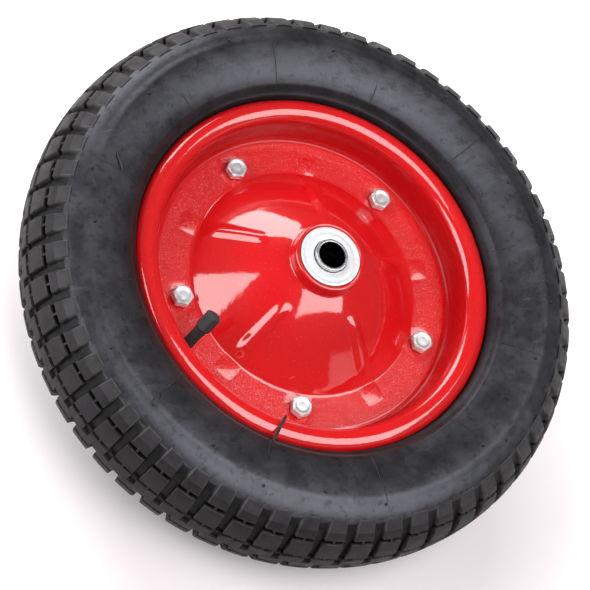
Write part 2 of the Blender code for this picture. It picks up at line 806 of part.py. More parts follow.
def inner_tube(surface):
    """Inflated tube that fills the tyre, open only where the valve's foot enters."""
    bm = bmesh.new()
    half = [(TUBE_INNER_R, TUBE_FOOT_Z)] + carcass_half()
    loop = half + [(r, -z) for r, z in half[::-1]]
    around = even(CARCASS_STEPS, math.radians(GROOVE_PHASE))
    outer = offset_loop(loop, TUBE_GAP * -1)
    inner = offset_loop(loop, (TUBE_GAP + TUBE_WALL) * -1)
    wrap(bm, [ring(bm, r, z, around) for r, z in outer])
    outside = set(bm.faces)
    wrap(bm, [ring(bm, r, z, around) for r, z in inner])
    lining = [face for face in bm.faces if face not in outside]
    return finish(bm, "inner_tube", surface, angle=60, hollow=lining)


# Valve


def valve_stem(surface, place):
    """Rubber-covered stem: foot in the tube, shoulder in the rim's hole, bored for the core."""
    tip = VALVE_LENGTH - CAP_LENGTH - SEAT_GAP
    core_hole = CORE_R + SEAT_GAP
    seat = CORE_START - SEAT_GAP
    profile = [
        (STEM_FOOT_R, -STEM_FOOT),
        (STEM_FOOT_R, -3 * STEM_SHOULDER),
        (STEM_ROOT_R, -STEM_SHOULDER),
        (STEM_TIP_R, tip),
        (core_hole, tip),
        (core_hole, seat),
        (AIR_WAY_R, seat),
        (AIR_WAY_R, -STEM_FOOT),
    ]
    return turned_part("valve_stem", profile, surface, VALVE_STEPS, place=place)


def valve_core(surface, place):
    """Brass tube in the stem, its mouth inside the cap."""
    mouth = VALVE_LENGTH - CAP_ROOF - CORE_HEAD_ROOM
    profile = [
        (CORE_BORE_R, CORE_START),
        (CORE_R, CORE_START),
        (CORE_R, mouth),
        (CORE_BORE_R, mouth),
    ]
    return turned_part("valve_core", profile, surface, VALVE_STEPS, place=place)


def valve_pin(surface, place):
    """Pin in the core's mouth; pressing it lets the air out."""
    bm = bmesh.new()
    top = VALVE_LENGTH - CAP_ROOF - CORE_HEAD_ROOM + PIN_PROUD
    around = even(8)
    rings = [ring(bm, PIN_R, top - PIN_LENGTH, around), ring(bm, PIN_R, top, around)]
    cap_ends(bm, rings)
    return finish(bm, "valve_pin", surface, place)


def valve_cap(surface, place):
    """Six-sided cap with a rounded end and a blind bore."""
    bm = bmesh.new()
    around = even(VALVE_STEPS)
    start = VALVE_LENGTH - CAP_LENGTH
    bore = CORE_R + SEAT_GAP
    corner = CAP_ACROSS / math.sqrt(3)
    hexagon = np.where(np.arange(VALVE_STEPS) % 2 == 0, corner, CAP_ACROSS / 2)
    rings = [
        ring(bm, bore, VALVE_LENGTH - CAP_ROOF, around),
        ring(bm, bore, start, around),
        ring(bm, hexagon, start, around),
        ring(bm, hexagon, VALVE_LENGTH - CAP_ROUND, around),
        ring(bm, CAP_ACROSS / 2 - CAP_ROUND / 4, VALVE_LENGTH - CAP_ROUND / 3, around),
        ring(bm, CAP_ACROSS / 2 - CAP_ROUND * 0.7, VALVE_LENGTH, around),
    ]
    cap_ends(bm, rings)
    return finish(bm, "valve_cap", surface, place)


def main():
    """Builds the whole wheel."""
    clear_scene()
    paint = material("red_paint", (0.60, 0.018, 0.025), 0.28, coat=0.5)
    zinc = material("zinc_plate", (0.62, 0.63, 0.65), 0.32, metallic=0.9)
    steel = material("bearing_steel", (0.50, 0.50, 0.52), 0.22, metallic=1.0)
    brass = material("brass", (0.72, 0.50, 0.20), 0.30, metallic=1.0)
    tread_rubber = material("tyre_rubber", (0.045, 0.045, 0.048), 0.62)
    stem_rubber = material("stem_rubber", (0.020, 0.020, 0.022), 0.50)
    tube_rubber = material("tube_rubber", (0.030, 0.030, 0.032), 0.60)
    cap_plastic = material("cap_plastic", (0.035, 0.035, 0.040), 0.45)
    cage_plastic = material("cage_plastic", (0.55, 0.50, 0.38), 0.50)

    tyre(tread_rubber)
    tube = inner_tube(tube_rubber)
    front = rim_half("rim_half_front", paint, 1)
    rear = rim_half("rim_half_rear", paint, -1)

    bolt_places = [polar(BOLT_CIRCLE_R, k * SECTOR) for k in range(BOLT_COUNT)]
    hole_r = SHANK_R + HOLE_CLEARANCE
    reach = 2 * WEB_FRONT_Z
    bolt_holes = cylinder_cutter(
        "bolt_hole_cutter", hole_r, -reach, reach, bolt_places, FASTENER_STEPS
    )
    stem_place = valve_frame()
    valve_hole = cylinder_cutter(
        "valve_hole_cutter",
        STEM_ROOT_R + VALVE_HOLE_GAP,
        -STEM_FOOT,
        STEM_FOOT,
        [stem_place],
        VALVE_STEPS,
    )
    tube_hole = cylinder_cutter(
        "tube_hole_cutter",
        STEM_FOOT_R + TUBE_HOLE_GAP,
        -2 * STEM_FOOT,
        -2 * STEM_SHOULDER,
        [stem_place],
        VALVE_STEPS,
    )
    cut(front, bolt_holes)
    cut(front, valve_hole)
    cut(rear, bolt_holes)
    cut(tube, tube_hole)

    seat_z = WEB_FRONT_Z + SEAT_GAP
    for k, place in enumerate(bolt_places, start=1):
        head_turn = Matrix.Rotation(math.radians(HEAD_TURNS_DEG[k - 1]), 4, "Z")
        bolt(f"bolt_{k}", zinc, place @ Matrix.Translation((0, 0, seat_z)) @ head_turn)
        washer_place = place @ Matrix.Translation((0, 0, -seat_z))
        spring_washer(f"spring_washer_{k}", zinc, washer_place)
        nut_z = -(seat_z + WASHER_THICK + SEAT_GAP)
        nut(f"nut_{k}", zinc, place @ Matrix.Translation((0, 0, nut_z)))

    valve_stem(stem_rubber, stem_place)
    valve_core(brass, stem_place)
    valve_pin(brass, stem_place)
    valve_cap(cap_plastic, stem_place)

    spacer_end = BEARING_START_Z - SEAT_GAP
    spacer_profile = [
        (SPACER_BORE_R, -spacer_end),
        (SPACER_R, -spacer_end),
        (SPACER_R, spacer_end),
        (SPACER_BORE_R, spacer_end),
    ]
    turned_part("spacer_sleeve", spacer_profile, zinc, HUB_STEPS)
    bearing("front", steel, zinc, cage_plastic, 1)
    bearing("rear", steel, zinc, cage_plastic, -1)


main()
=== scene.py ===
"""Finish and studio for a pneumatic barrow wheel.

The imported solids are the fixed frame. This script lays finer surfaces over them: a block-tread
tyre, two pressed rim halves with stamped ribs, fasteners, hub faces and the valve. Then it adds
procedural finishes, a plain floor, soft light and the camera. Sizes are in metres, +Z runs along
the axle towards the bolt heads, and bolt 1 lies on +X.
"""

import math

import bpy
import numpy as np
from bpy.props import FloatProperty, FloatVectorProperty, IntProperty, PointerProperty
from mathutils import Matrix, Vector


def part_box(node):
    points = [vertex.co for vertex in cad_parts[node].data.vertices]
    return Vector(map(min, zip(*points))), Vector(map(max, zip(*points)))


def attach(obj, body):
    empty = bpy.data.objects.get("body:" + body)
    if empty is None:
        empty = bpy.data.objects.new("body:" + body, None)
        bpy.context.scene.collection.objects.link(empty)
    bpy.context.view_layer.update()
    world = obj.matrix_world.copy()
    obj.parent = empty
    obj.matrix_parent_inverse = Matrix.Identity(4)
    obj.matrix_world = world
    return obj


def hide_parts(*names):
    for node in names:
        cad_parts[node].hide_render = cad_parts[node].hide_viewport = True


bl_info = {
    "name": "Barrow wheel finish",
    "version": (1, 0, 0),
    "blender": (4, 5, 0),
    "location": "View3D > Sidebar > Wheel",
    "description": "Lays fine surfaces and finishes over the solids of a pneumatic wheel",
    "category": "Object",
}

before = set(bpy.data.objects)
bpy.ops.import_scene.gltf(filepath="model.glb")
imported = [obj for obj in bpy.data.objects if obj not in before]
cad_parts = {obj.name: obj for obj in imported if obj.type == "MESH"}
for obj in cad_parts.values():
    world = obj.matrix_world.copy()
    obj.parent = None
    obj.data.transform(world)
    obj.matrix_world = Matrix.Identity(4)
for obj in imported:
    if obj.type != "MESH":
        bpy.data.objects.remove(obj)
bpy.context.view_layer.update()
TYRE_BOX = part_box("tyre")
RIM_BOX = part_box("rim_half_front")
HUB_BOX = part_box("front_inner_ring")
BOLTS = tuple(sorted(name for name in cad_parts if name.startswith("bolt_")))
SECTOR = 2 * math.pi / len(BOLTS)
SIDES = ((1, "front"), (-1, "rear"))

# How far the edges of the tread's blocks are rounded down.
SOFT_EDGE = 0.00010

# The tyre's bead as (distance past the flange's edge, height), then its inside as (radius, height).
BEAD_KEYS = (
    (0.0034, 0.0274), (0.0025, 0.0268), (0.0016, 0.0263), (0.0011, 0.0252), (0.0008, 0.0230),
    (0.0006, 0.0200), (-0.0030, 0.0206), (-0.0070, 0.0226), (-0.0122, 0.0196),
    (-0.0130, 0.0112), (-0.0085, 0.0120),
)
TYRE_INSIDE = (
    (0.1195, 0.0215), (0.1300, 0.0300), (0.1480, 0.0340), (0.1620, 0.0270), (0.1700, 0.0123),
    (0.1712, 0.0004),
)

# Vent nubs as (degrees from bolt 1, radius). Each whisker is two places (degrees, radius, height
# over the rubber), its width, its thickness and its sag.
NUBS = (
    (-16, 0.145), (14, 0.153), (45, 0.145), (59, 0.152), (73.5, 0.146), (88, 0.153),
    (118, 0.145), (124, 0.153), (147, 0.145), (163, 0.152), (195, 0.146), (221, 0.153),
    (252, 0.145), (279, 0.152), (306, 0.146), (331, 0.152),
)
WHISKERS = (
    ((59.3, 0.1195, 0.0003), (61.6, 0.1005, -0.0014), 0.00095, 0.00040, 0.0),
    ((28.2, 0.1430, 0.0003), (29.3, 0.1520, 0.0013), 0.00110, 0.00040, 0.0008),
    ((-31.8, 0.1340, 0.0003), (-35.4, 0.1412, 0.0009), 0.00095, 0.00050, 0.0008),
)

# The rim from the web's edge, as (distance out, share of the step down, rise), then its seat and
# flange as (radius, height).
STEP_KEYS = (
    (0, 0, -0.00003), (0.0006, 0.6, 0), (0.0014, 1, 0), (0.0024, 0, 0.0001),
    (0.0035, 0, 0.0013), (0.0044, 0, 0.0035), (0.0049, 0, 0.0066),
)
SEAT_KEYS = (
    (0.1000, 0.0120), (0.1001, 0.0168), (0.1005, 0.0198), (0.1014, 0.0221), (0.1031, 0.0242),
    (0.1056, 0.0254), (0.1083, 0.0258), (0.1107, 0.02535), (0.1127, 0.0244), (0.1142, 0.0231),
)

# The dish in a bolt's head as (radius, depth), and the turn of each head on its seat in degrees.
HEAD_DISH = (
    (0.00500, 0.0), (0.00460, -0.00004), (0.00420, -0.00018), (0.00370, -0.00034),
    (0.00310, -0.00038), (0.00200, -0.00034), (0.00080, -0.00030),
)
BOLT_TURNS = (10, 28, 30, 28, 33)

# Finishes of the solids that keep their shape, by a part of the node's name.
KEPT_FINISHES = {
    "outer_ring": "ground_steel",
    "cage": "cage_nylon",
    "ball": "ground_steel",
    "spacer_sleeve": "greased_steel",
    "inner_tube": "stem_rubber",
    "valve_core": "turned_brass",
    "valve_pin": "turned_brass",
}

# The photograph's camera in the wheel's frame.
IMAGE_RIGHT = Vector((-0.891750, 0.254818, 0.373964))
IMAGE_UP = Vector((-0.108955, -0.922980, 0.369102))
IMAGE_BACK = Vector((0.439215, 0.288401, 0.850832))
CAMERA_PLACE = Vector((0.59927, 0.39522, 1.14709))


def length(name, default, description):
    """A length property in metres."""
    return FloatProperty(
        name=name, description=description, default=default, unit="LENGTH", precision=5
    )


def plain(name, default, description):
    """A plain number property, without a unit."""
    return FloatProperty(name=name, description=description, default=default)


def angle(name, degrees, description):
    """An angle property, given here in degrees."""
    return FloatProperty(
        name=name, description=description, default=math.radians(degrees), subtype="ANGLE"
    )


def colour(name, default, description):
    """A linear colour property."""
    return FloatVectorProperty(
        name=name, description=description, default=default, subtype="COLOR", min=0, max=1
    )


class WheelTyreSizes(bpy.types.PropertyGroup):
    tread_radius: length("Tread radius", TYRE_BOX[1][0] - 0.00002, "Radius at the crown")
    widest_radius: length("Widest radius", 0.148, "Radius at which the section is widest")
    section_half: length("Half section", TYRE_BOX[1][2], "Half the width of the section")
    crown_power: plain("Crown power", 2.1, "Exponent of the crown's superellipse")
    lower_power: plain("Lower power", 1.6, "Exponent of the lower sidewall's curve")
    ledge: length("Ledge", 0.0009, "How far the tread rubber stands proud of the sidewall")
    guard_radius: length("Guard line radius", 0.1180, "Radius of the fine ring by the rim")


class WheelTreadPattern(bpy.types.PropertyGroup):
    pitches: IntProperty(name="Pitches", description="Blocks round the tyre", default=58)
    phase: angle("Phase", -0.32, "Place of a groove of the front half, from bolt 1")
    depth: length("Depth", 0.0038, "Depth of the cross grooves")
    slot_depth: length("Slot depth", 0.0036, "Depth of the slots between the rows")
    end_depth: length("End depth", 0.0013, "Depth left where the grooves run out")
    rib_edge: length("Rib edge", 0.0065, "Half width of the notched middle rib")
    notch_end: length("Notch end", 0.0006, "Where the rib's notches stop, from the middle")
    mid_start: length("Middle block start", 0.0100, "Inner edge of the middle blocks")
    mid_end: length("Middle block end", 0.0226, "Outer edge of the middle blocks")
    shoulder_start: length("Shoulder start", 0.0255, "Inner edge of the shoulder blocks")
    shoulder_crease: length("Shoulder crease", 0.0300, "Crease across the shoulder blocks")
    shoulder_end: length("Shoulder end", 0.0352, "Outer edge of the shoulder blocks")
    groove: angle("Groove", 1.70, "Width of a cross groove's mouth at the middle blocks")
    groove_end: angle("Groove end", 3.00, "Width of its mouth at the shoulder's outer edge")
    wall: angle("Groove wall", 0.20, "Width that the groove's wall takes at the middle")
    wall_end: angle("Groove wall end", 0.80, "Width that its wall takes at the outer edge")
    tie: angle("Tie rib", 0.46, "Width of the tie rib across each slot")
    notch_share: plain("Notch share", 0.55, "Depth of the rib's notches over the grooves'")
    tie_depth: plain("Tie rib depth", 0.16, "Share of the slot's depth above a tie")


class WheelRimSizes(bpy.types.PropertyGroup):
    sheet: length("Sheet", 0.0015, "Thickness of the pressed sheet")
    web_back: length("Web back", 0.00015, "Distance of the web's back from the middle plane")
    web_outer: length("Web outer radius", 0.0948, "Radius at which the flat web ends")
    step: length("Step", 0.0003, "Drop of the sheet just outside the web")
    dome_fold: length("Dome fold", 0.0735, "Radius of the fold between dome and web")
    fold_round: length("Fold round", 0.0011, "Half width of the curve at the fold")
    dome_top: length("Dome top", 0.0236, "Radius of the dome's upper end")
    dome_top_height: length("Dome top height", 0.0357, "Height of the dome's upper end")
    dome_bulge: plain("Dome bulge", 0.169, "How far the dome swells over a straight cone")
    dome_lean: plain("Dome lean", 0.302, "How much of the swelling lies towards the collar")
    collar_inner: length("Collar bore", 0.0194, "Inner radius of the collar and cup")
    collar_top: length("Collar top", RIM_BOX[1][2], "Height of the folded collar")
    shoulder_radius: length("Cup hole", 0.0160, "Radius of the hole in the cup's bottom")
    shoulder_height: length("Cup bottom", 0.0323, "Height of the cup's bottom")
    flange_radius: length("Flange radius", 0.1150, "Radius of the flange's edge")
    crest: length("Flange crest", 0.0257, "Height of the rolled flange")
    rib_height: length("Rib height", 0.0016, "Height of the stamped ribs")
    pad_crown: length("Pad crown", 0.0008, "Height of the middle of a stamped pad")
    dimple: length("Dimple", 0.00070, "Depth to which a bolt has drawn the sheet in")
    rib_start: length("Rib start", 0.0340, "Radius at which a rib starts")
    rib_half: length("Rib half width", 0.0034, "Half width of a rib at its start")
    pad_half: length("Pad half width", 0.0064, "Half width of a pad on the web")
    pad_end: length("Pad end", 0.0858, "Radius at which a pad ends")


class WheelFastenerSizes(bpy.types.PropertyGroup):
    circle: length("Bolt circle", 0.0826, "Radius of the bolt circle")
    across: length("Across flats", 0.0120, "Width of the hexagons across their flats")
    head: length("Head height", 0.0052, "Height of a bolt's head")
    nut: length("Nut height", 0.0065, "Height of a nut")
    shank: length("Shank radius", 0.0040, "Outer radius of the thread")
    thread: length("Thread pitch", 0.00125, "Distance from thread to thread")
    washer: length("Washer radius", 0.0069, "Outer radius of a spring washer")
    washer_thick: length("Washer thickness", 0.0021, "Thickness of a spring washer")
    gap: length("Seat gap", 0.0003, "Clearance between pieces that seat on each other")


class WheelHubSizes(bpy.types.PropertyGroup):
    bore: length("Bore", 0.0082, "Radius of the axle bore")
    sleeve: length("Sleeve radius", 0.0103, "Outer radius of the raised sleeve")
    sleeve_end: length("Sleeve end", HUB_BOX[1][2], "Height of the sleeve's end")
    land: length("Ring land", 0.0119, "Outer radius of the inner ring")
    land_end: length("Land end", 0.0432, "Height at which the inner ring's land ends")
    race: length("Ball groove", 0.0108, "Radius at the middle of the ball groove")
    disc_inner: length("Disc hole", 0.0108, "Radius of the hole in the shield")
    disc_outer: length("Disc radius", 0.0191, "Radius of the shield")
    disc_face: length("Disc face", 0.0447, "Height of the shield's face")
    disc_thick: length("Disc thickness", 0.0008, "Thickness of the shield")
    ring: length("Pressed ring", 0.0160, "Radius of the soft ring pressed in the shield")


class WheelValveSizes(bpy.types.PropertyGroup):
    turn: angle("Turn", 19.98, "Place of the valve round the axle, from bolt 1")
    root_radius: length("Root radius", 0.0985, "Radius at which the stem leaves the wall")
    root_height: length("Root height", 0.0080, "Height at which the stem leaves the wall")
    rise: angle("Rise", 51.92, "Angle of the stem out of the web's plane")
    skew: angle("Skew", -9.1, "Sideways lean of the stem")
    reach: length("Reach", 0.02946, "Length from the wall to the cap's end")
    stem_root: length("Stem root", 0.00385, "Radius of the stem at the wall")
    stem_tip: length("Stem tip", 0.00340, "Radius of the stem under the cap")
    foot: length("Foot", 0.0022, "Radius of the foot in the tube")
    cap_length: length("Cap length", 0.0120, "Length of the cap")
    cap_across: length("Cap across flats", 0.0090, "Width of the cap across its flats")
    cap_end: length("Cap end", 0.0014, "Radius of the edge round the cap's end")
    core: length("Core radius", 0.0024, "Radius of the brass core")


class WheelFinishes(bpy.types.PropertyGroup):
    paint: colour("Paint", (0.76, 0.005, 0.008), "Gloss paint on the rim")
    tread: colour("Tread rubber", (0.0140, 0.0130, 0.0145), "Rubber of the tread blocks")
    sidewall: colour("Sidewall rubber", (0.016, 0.015, 0.016), "Rubber of the sidewalls")
    # Bluish bloom, also used as painted sheen on the sidewalls.
    bloom_and_sheen: colour("Bloom", (0.052, 0.051, 0.062), "Bluish bloom on the sidewalls")
    # Dust colour, also used for the painted highlights on the tread's block edges and, darkened, for
    # the painted shade by the rim.
    dust: colour("Dust", (0.115, 0.104, 0.098), "Pale dust and wear on the rubber")
    zinc: colour("Zinc", (0.86, 0.87, 0.89), "Zinc plating")
    steel: colour("Bearing steel", (0.60, 0.60, 0.61), "Ground steel")
    cap: colour("Cap", (0.014, 0.014, 0.016), "Plastic of the valve cap")


class WheelStudio(bpy.types.PropertyGroup):
    lens: plain("Lens", 134.237, "Focal length, mm")
    floor_tilt: angle("Floor tilt", 3.65, "The wheel lies on its rear hub and sidewall")
    floor_turn: angle("Floor turn", 83.3, "Direction in which the wheel tips")
    lamps: plain("Lamps", 5.0, "Radiance of the soft boxes")
    world: plain("World", 0.10, "Strength of the fill")


GROUPS = {
    "wheel_tyre": WheelTyreSizes,
    "wheel_tread": WheelTreadPattern,
    "wheel_rim": WheelRimSizes,
    "wheel_fasteners": WheelFastenerSizes,
    "wheel_hub": WheelHubSizes,
    "wheel_valve": WheelValveSizes,
    "wheel_finishes": WheelFinishes,
    "wheel_studio": WheelStudio,
}


# Surfaces


def grid_quads(rows, columns, close_rows=True, close_columns=True):
    """Corner numbers of the faces of a grid whose points are numbered row by row."""
    r = np.arange(rows if close_rows else rows - 1)
    c = np.arange(columns if close_columns else columns - 1)
    r, c = (a.ravel() for a in np.meshgrid(r, c, indexing="ij"))
    r2, c2 = (r + 1) % rows, (c + 1) % columns
    corners = (r * columns + c, r * columns + c2, r2 * columns + c2, r2 * columns + c)
    return np.stack(corners, axis=1)


def drop_doubles(quads):
    """Splits faces into whole ones and triangles; a triangle uses one point twice in a row."""
    same = quads == np.roll(quads, -1, axis=1)
    whole = quads[~same.any(axis=1)]
    short = quads[same.sum(axis=1) == 1]
    keep = ~(short == np.roll(short, -1, axis=1))
    return whole, short[keep].reshape(-1, 3)


def signed_volume(points, faces):
    """Six times the volume inside the faces by the divergence theorem, less than 0 if they
    face inward."""
    total = 0.0
    for corner in range(1, faces.shape[1] - 1):
        a, b, c = points[faces[:, 0]], points[faces[:, corner]], points[faces[:, corner + 1]]
        total += np.einsum("ij,ij->", a, np.cross(b, c))
    return total


def make_piece(
    name, points, faces, material, body="wheel", nodes=(), slot=None, sharp=30, shades=None
):
    """Makes one closed piece from arrays of points and faces and ties it to the frame.
    shades names float attributes, one value for each point, for the material to read."""
    points = np.asarray(points, float).reshape(-1, 3)
    groups = [g for g in drop_doubles(faces) if len(g)]
    if sum(signed_volume(points, g) for g in groups) < 0:
        groups = [g[:, ::-1] for g in groups]
    mesh = bpy.data.meshes.new(name)
    mesh.vertices.add(len(points))
    mesh.vertices.foreach_set("co", points.ravel())
    sizes = np.concatenate([np.full(len(g), g.shape[1]) for g in groups])
    loops = np.concatenate([g.ravel() for g in groups])
    mesh.loops.add(len(loops))
    mesh.loops.foreach_set("vertex_index", loops)
    mesh.polygons.add(len(sizes))
    mesh.polygons.foreach_set("loop_start", np.concatenate(([0], np.cumsum(sizes)[:-1])))
    mesh.update(calc_edges=True)
    for key, values in (shades or {}).items():
        made = mesh.attributes.new(key, "FLOAT", "POINT")
        made.data.foreach_set("value", np.asarray(values, np.float32).ravel())
    mesh.validate()
    mesh.shade_smooth()
    mesh.set_sharp_from_angle(angle=math.radians(sharp))
    mesh.materials.append(material)
    piece = bpy.data.objects.new(name, mesh)
    bpy.context.collection.objects.link(piece)
    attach(piece, body)
    if nodes:
        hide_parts(*nodes)
    return piece


def round_angles(count):
    """Equal angles of one full turn."""
    return np.arange(count) * 2 * math.pi / count


def polar(r, angles, z):
    """Points x = r cos a, y = r sin a, z, from arrays or numbers that fit each other."""
    r, angles, z = np.broadcast_arrays(r, angles, z)
    return np.stack([r * np.cos(angles), r * np.sin(angles), z], axis=-1)


def revolve(profile, angles):
    """A profile of (radius, height) carried round Z: x = r cos a, y = r sin a, z = h."""
    profile = np.asarray(profile, float)
    return polar(profile[:, :1], angles, profile[:, 1:])


def stack_rings(rows, angles):
    """Rings of (radius, height) on top of each other; either may be an array round the ring."""
    return np.stack([polar(r, angles, z) for r, z in rows])


def turn_profile(name, profile, material, steps=144, place=None, side=1, **ties):
    """Revolves a closed profile and makes it a piece; side -1 mirrors it to the rear."""
    points = revolve(np.asarray(profile, float) * (1, side), round_angles(steps))
    return make_piece(name, put(points, place), grid_quads(len(profile), steps), material, **ties)


def put(points, place):
    """Applies a placement matrix to an array of points."""
    if place is None:
        return points
    matrix = np.array(place)
    return points @ matrix[:3, :3].T + matrix[:3, 3]


def capped(rings):
    """Closes a stack of rings by a middle point at both ends; returns points and faces."""
    rows, columns = rings.shape[:2]
    middle = rings.mean(axis=1, keepdims=True)
    stack = np.concatenate([middle[:1].repeat(columns, 1), rings, middle[-1:].repeat(columns, 1)])
    last = (rows + 1) * columns
    quads = grid_quads(rows + 2, columns, close_rows=False)
    quads = np.where(quads < columns, 0, quads)
    return stack, np.where(quads >= last, last, quads)


def join_tubes(name, tubes, material, **ties):
    """Makes many equal tubes, their ends drawn to points, into one piece."""
    shells = [capped(rings) for rings in tubes]
    points = np.stack([stack for stack, quads in shells])
    count = points[0].size // 3
    faces = np.concatenate([quads + k * count for k, (stack, quads) in enumerate(shells)])
    return make_piece(name, points, faces, material, **ties)


def rounded(corners, radii, steps=5):
    """A closed profile with each corner replaced by an arc tangent to both of its sides."""
    corners = np.asarray(corners, float)
    line = []
    for i, corner in enumerate(corners):
        before, after = corners[i - 1] - corner, corners[(i + 1) % len(corners)] - corner
        reach_1, reach_2 = np.linalg.norm(before), np.linalg.norm(after)
        before, after = before / reach_1, after / reach_2
        half = math.acos(float(np.clip(before @ after, -1, 1))) / 2
        radius = radii[i] if np.ndim(radii) else radii
        cut = min(radius / math.tan(half), 0.48 * reach_1, 0.48 * reach_2)
        if cut < 1e-6:
            line.append(corner)
            continue
        radius = cut * math.tan(half)
        axis = (before + after) / np.linalg.norm(before + after)
        centre = corner + axis * radius / math.sin(half)
        start, end = corner + before * cut - centre, corner + after * cut - centre
        sweep = math.pi - 2 * half
        share = np.linspace(0, 1, steps)[:, None]
        arc = (np.sin((1 - share) * sweep) * start + np.sin(share * sweep) * end) / math.sin(sweep)
        line.extend(centre + arc)
    return np.array(line)


def smooth_line(keys, steps):
    """A Catmull-Rom curve through the keys, with equal steps between each two."""
    keys = np.asarray(keys, float)
    ends = np.vstack([2 * keys[0] - keys[1], keys, 2 * keys[-1] - keys[-2]])
    t = (np.arange(steps) / steps)[None, :, None]
    a, b, c, d = (ends[i : len(keys) - 1 + i][:, None] for i in range(4))
    curve = 0.5 * (
        2 * b + (c - a) * t + (2 * a - 5 * b + 4 * c - d) * t**2 + (3 * b - a - 3 * c + d) * t**3
    )
    return np.vstack([curve.reshape(-1, keys.shape[1]), keys[-1:]])


def bow(start, corner, end, steps):
    """A quadratic curve (1 - t)² start + 2 t (1 - t) corner + t² end, in equal steps of t."""
    t = np.linspace(0, 1, steps + 1)[:, None]
    return (1 - t) ** 2 * start + 2 * t * (1 - t) * corner + t**2 * end


def line_normals(line):
    """Unit normals to the left of an open line."""
    along = np.gradient(line, axis=0)
    normal = np.stack([-along[:, 1], along[:, 0]], axis=1)
    return normal / np.linalg.norm(normal, axis=1)[:, None]


def ease(x):
    """Smooth step from 0 to 1 as x goes from 0 to 1."""
    x = np.clip(x, 0, 1)
    return x * x * (3 - 2 * x)


def valve_place(sizes):
    """The valve's frame: origin on the rim's wall, +Z along the stem."""
    out = Vector((math.cos(sizes.turn), math.sin(sizes.turn), 0))
    around = Vector((-math.sin(sizes.turn), math.cos(sizes.turn), 0))
    up = Vector((0, 0, 1))
    line = math.cos(sizes.skew) * (math.sin(sizes.rise) * up - math.cos(sizes.rise) * out)
    line += math.sin(sizes.skew) * around
    side = line.cross(around).normalized()
    basis = Matrix((side, line.cross(side), line)).transposed().to_4x4()
    return Matrix.Translation(sizes.root_radius * out + sizes.root_height * up) @ basis


# Finishes


class Finish:
    """One procedural material, built node by node on Object coordinates."""

    def __init__(self, name, base, roughness, metallic=0.0):
        self.material = bpy.data.materials.new(name)
        self.material.use_nodes = True
        self.tree = self.material.node_tree
        self.shader = self.tree.nodes["Principled BSDF"]
        self.place = self.node("ShaderNodeTexCoord").outputs["Object"]
        self.set("Base Color", (*base, 1))
        self.set("Roughness", roughness)
        self.set("Metallic", metallic)
        self.material.diffuse_color = (*base, 1)

    def node(self, kind, **values):
        """A new node with its settings."""
        made = self.tree.nodes.new(kind)
        for key, value in values.items():
            setattr(made, key, value)
        return made

    def feed(self, socket, value):
        """Links another node's output to a socket, or sets a plain value on it."""
        if isinstance(value, bpy.types.NodeSocket):
            self.tree.links.new(value, socket)
        else:
            socket.default_value = value

    def set(self, name, value):
        """Feeds one of the shader's own sockets."""
        self.feed(self.shader.inputs[name], value)

    def noise(self, size, detail=3, contrast=0.5, stretch=None):
        """Noise whose blobs are about size metres across."""
        place = self.place
        if stretch:
            mapping = self.node("ShaderNodeMapping")
            self.feed(mapping.inputs["Scale"], stretch)
            self.feed(mapping.inputs["Vector"], place)
            place = mapping.outputs["Vector"]
        made = self.node("ShaderNodeTexNoise")
        given = {"Vector": place, "Scale": 1 / size, "Detail": detail, "Roughness": contrast}
        for name, value in given.items():
            self.feed(made.inputs[name], value)
        return made.outputs["Fac"]

    def shade(self, name):
        """A float attribute that the piece's points carry."""
        return self.node("ShaderNodeAttribute", attribute_name=name).outputs["Fac"]

    def radius(self):
        """Distance from the axle line."""
        parts = self.node("ShaderNodeSeparateXYZ")
        self.feed(parts.inputs[0], self.place)
        x, y = parts.outputs["X"], parts.outputs["Y"]
        return self.math("SQRT", self.math("ADD", self.times(x, x), self.times(y, y)))

    def math(self, kind, a, b=0.0):
        """One sum, product or other operation on two values."""
        made = self.node("ShaderNodeMath", operation=kind)
        self.feed(made.inputs[0], a)
        self.feed(made.inputs[1], b)
        return made.outputs[0]

    def times(self, a, b):
        """Product of two values."""
        return self.math("MULTIPLY", a, b)

    def spread(self, value, low, high, to_low=0.0, to_high=1.0, kind="SMOOTHSTEP"):
        """Maps low..high to to_low..to_high, clamped, and smoothly unless kind is LINEAR."""
        made = self.node("ShaderNodeMapRange", interpolation_type=kind)
        for socket, given in zip(made.inputs, (value, low, high, to_low, to_high)):
            self.feed(socket, given)
        return made.outputs["Result"]

    def band(self, value, start, full, fall, end):
        """1 from full to fall, running out to 0 at start and at end."""
        return self.times(self.spread(value, start, full), self.spread(value, end, fall))

    def mix(self, share, first, second):
        """Mixes two colours or two colour sockets."""
        made = self.node("ShaderNodeMix", data_type="RGBA")
        self.feed(made.inputs["Factor"], share)
        for socket, given in zip((made.inputs[6], made.inputs[7]), (first, second)):
            self.feed(socket, (*given, 1) if isinstance(given, tuple) else given)
        return made.outputs[2]

    def bump(self, height, distance, strength=1.0, under=None):
        """A bumped normal, laid over the normal under where one is given."""
        made = self.node("ShaderNodeBump")
        self.feed(made.inputs["Strength"], strength)
        self.feed(made.inputs["Distance"], distance)
        self.feed(made.inputs["Height"], height)
        if under is not None:
            self.feed(made.inputs["Normal"], under)
        return made.outputs["Normal"]


def dim(base, share):
    """A colour times a share, darker below 1 and lighter above it."""
    return tuple(share * c for c in base)


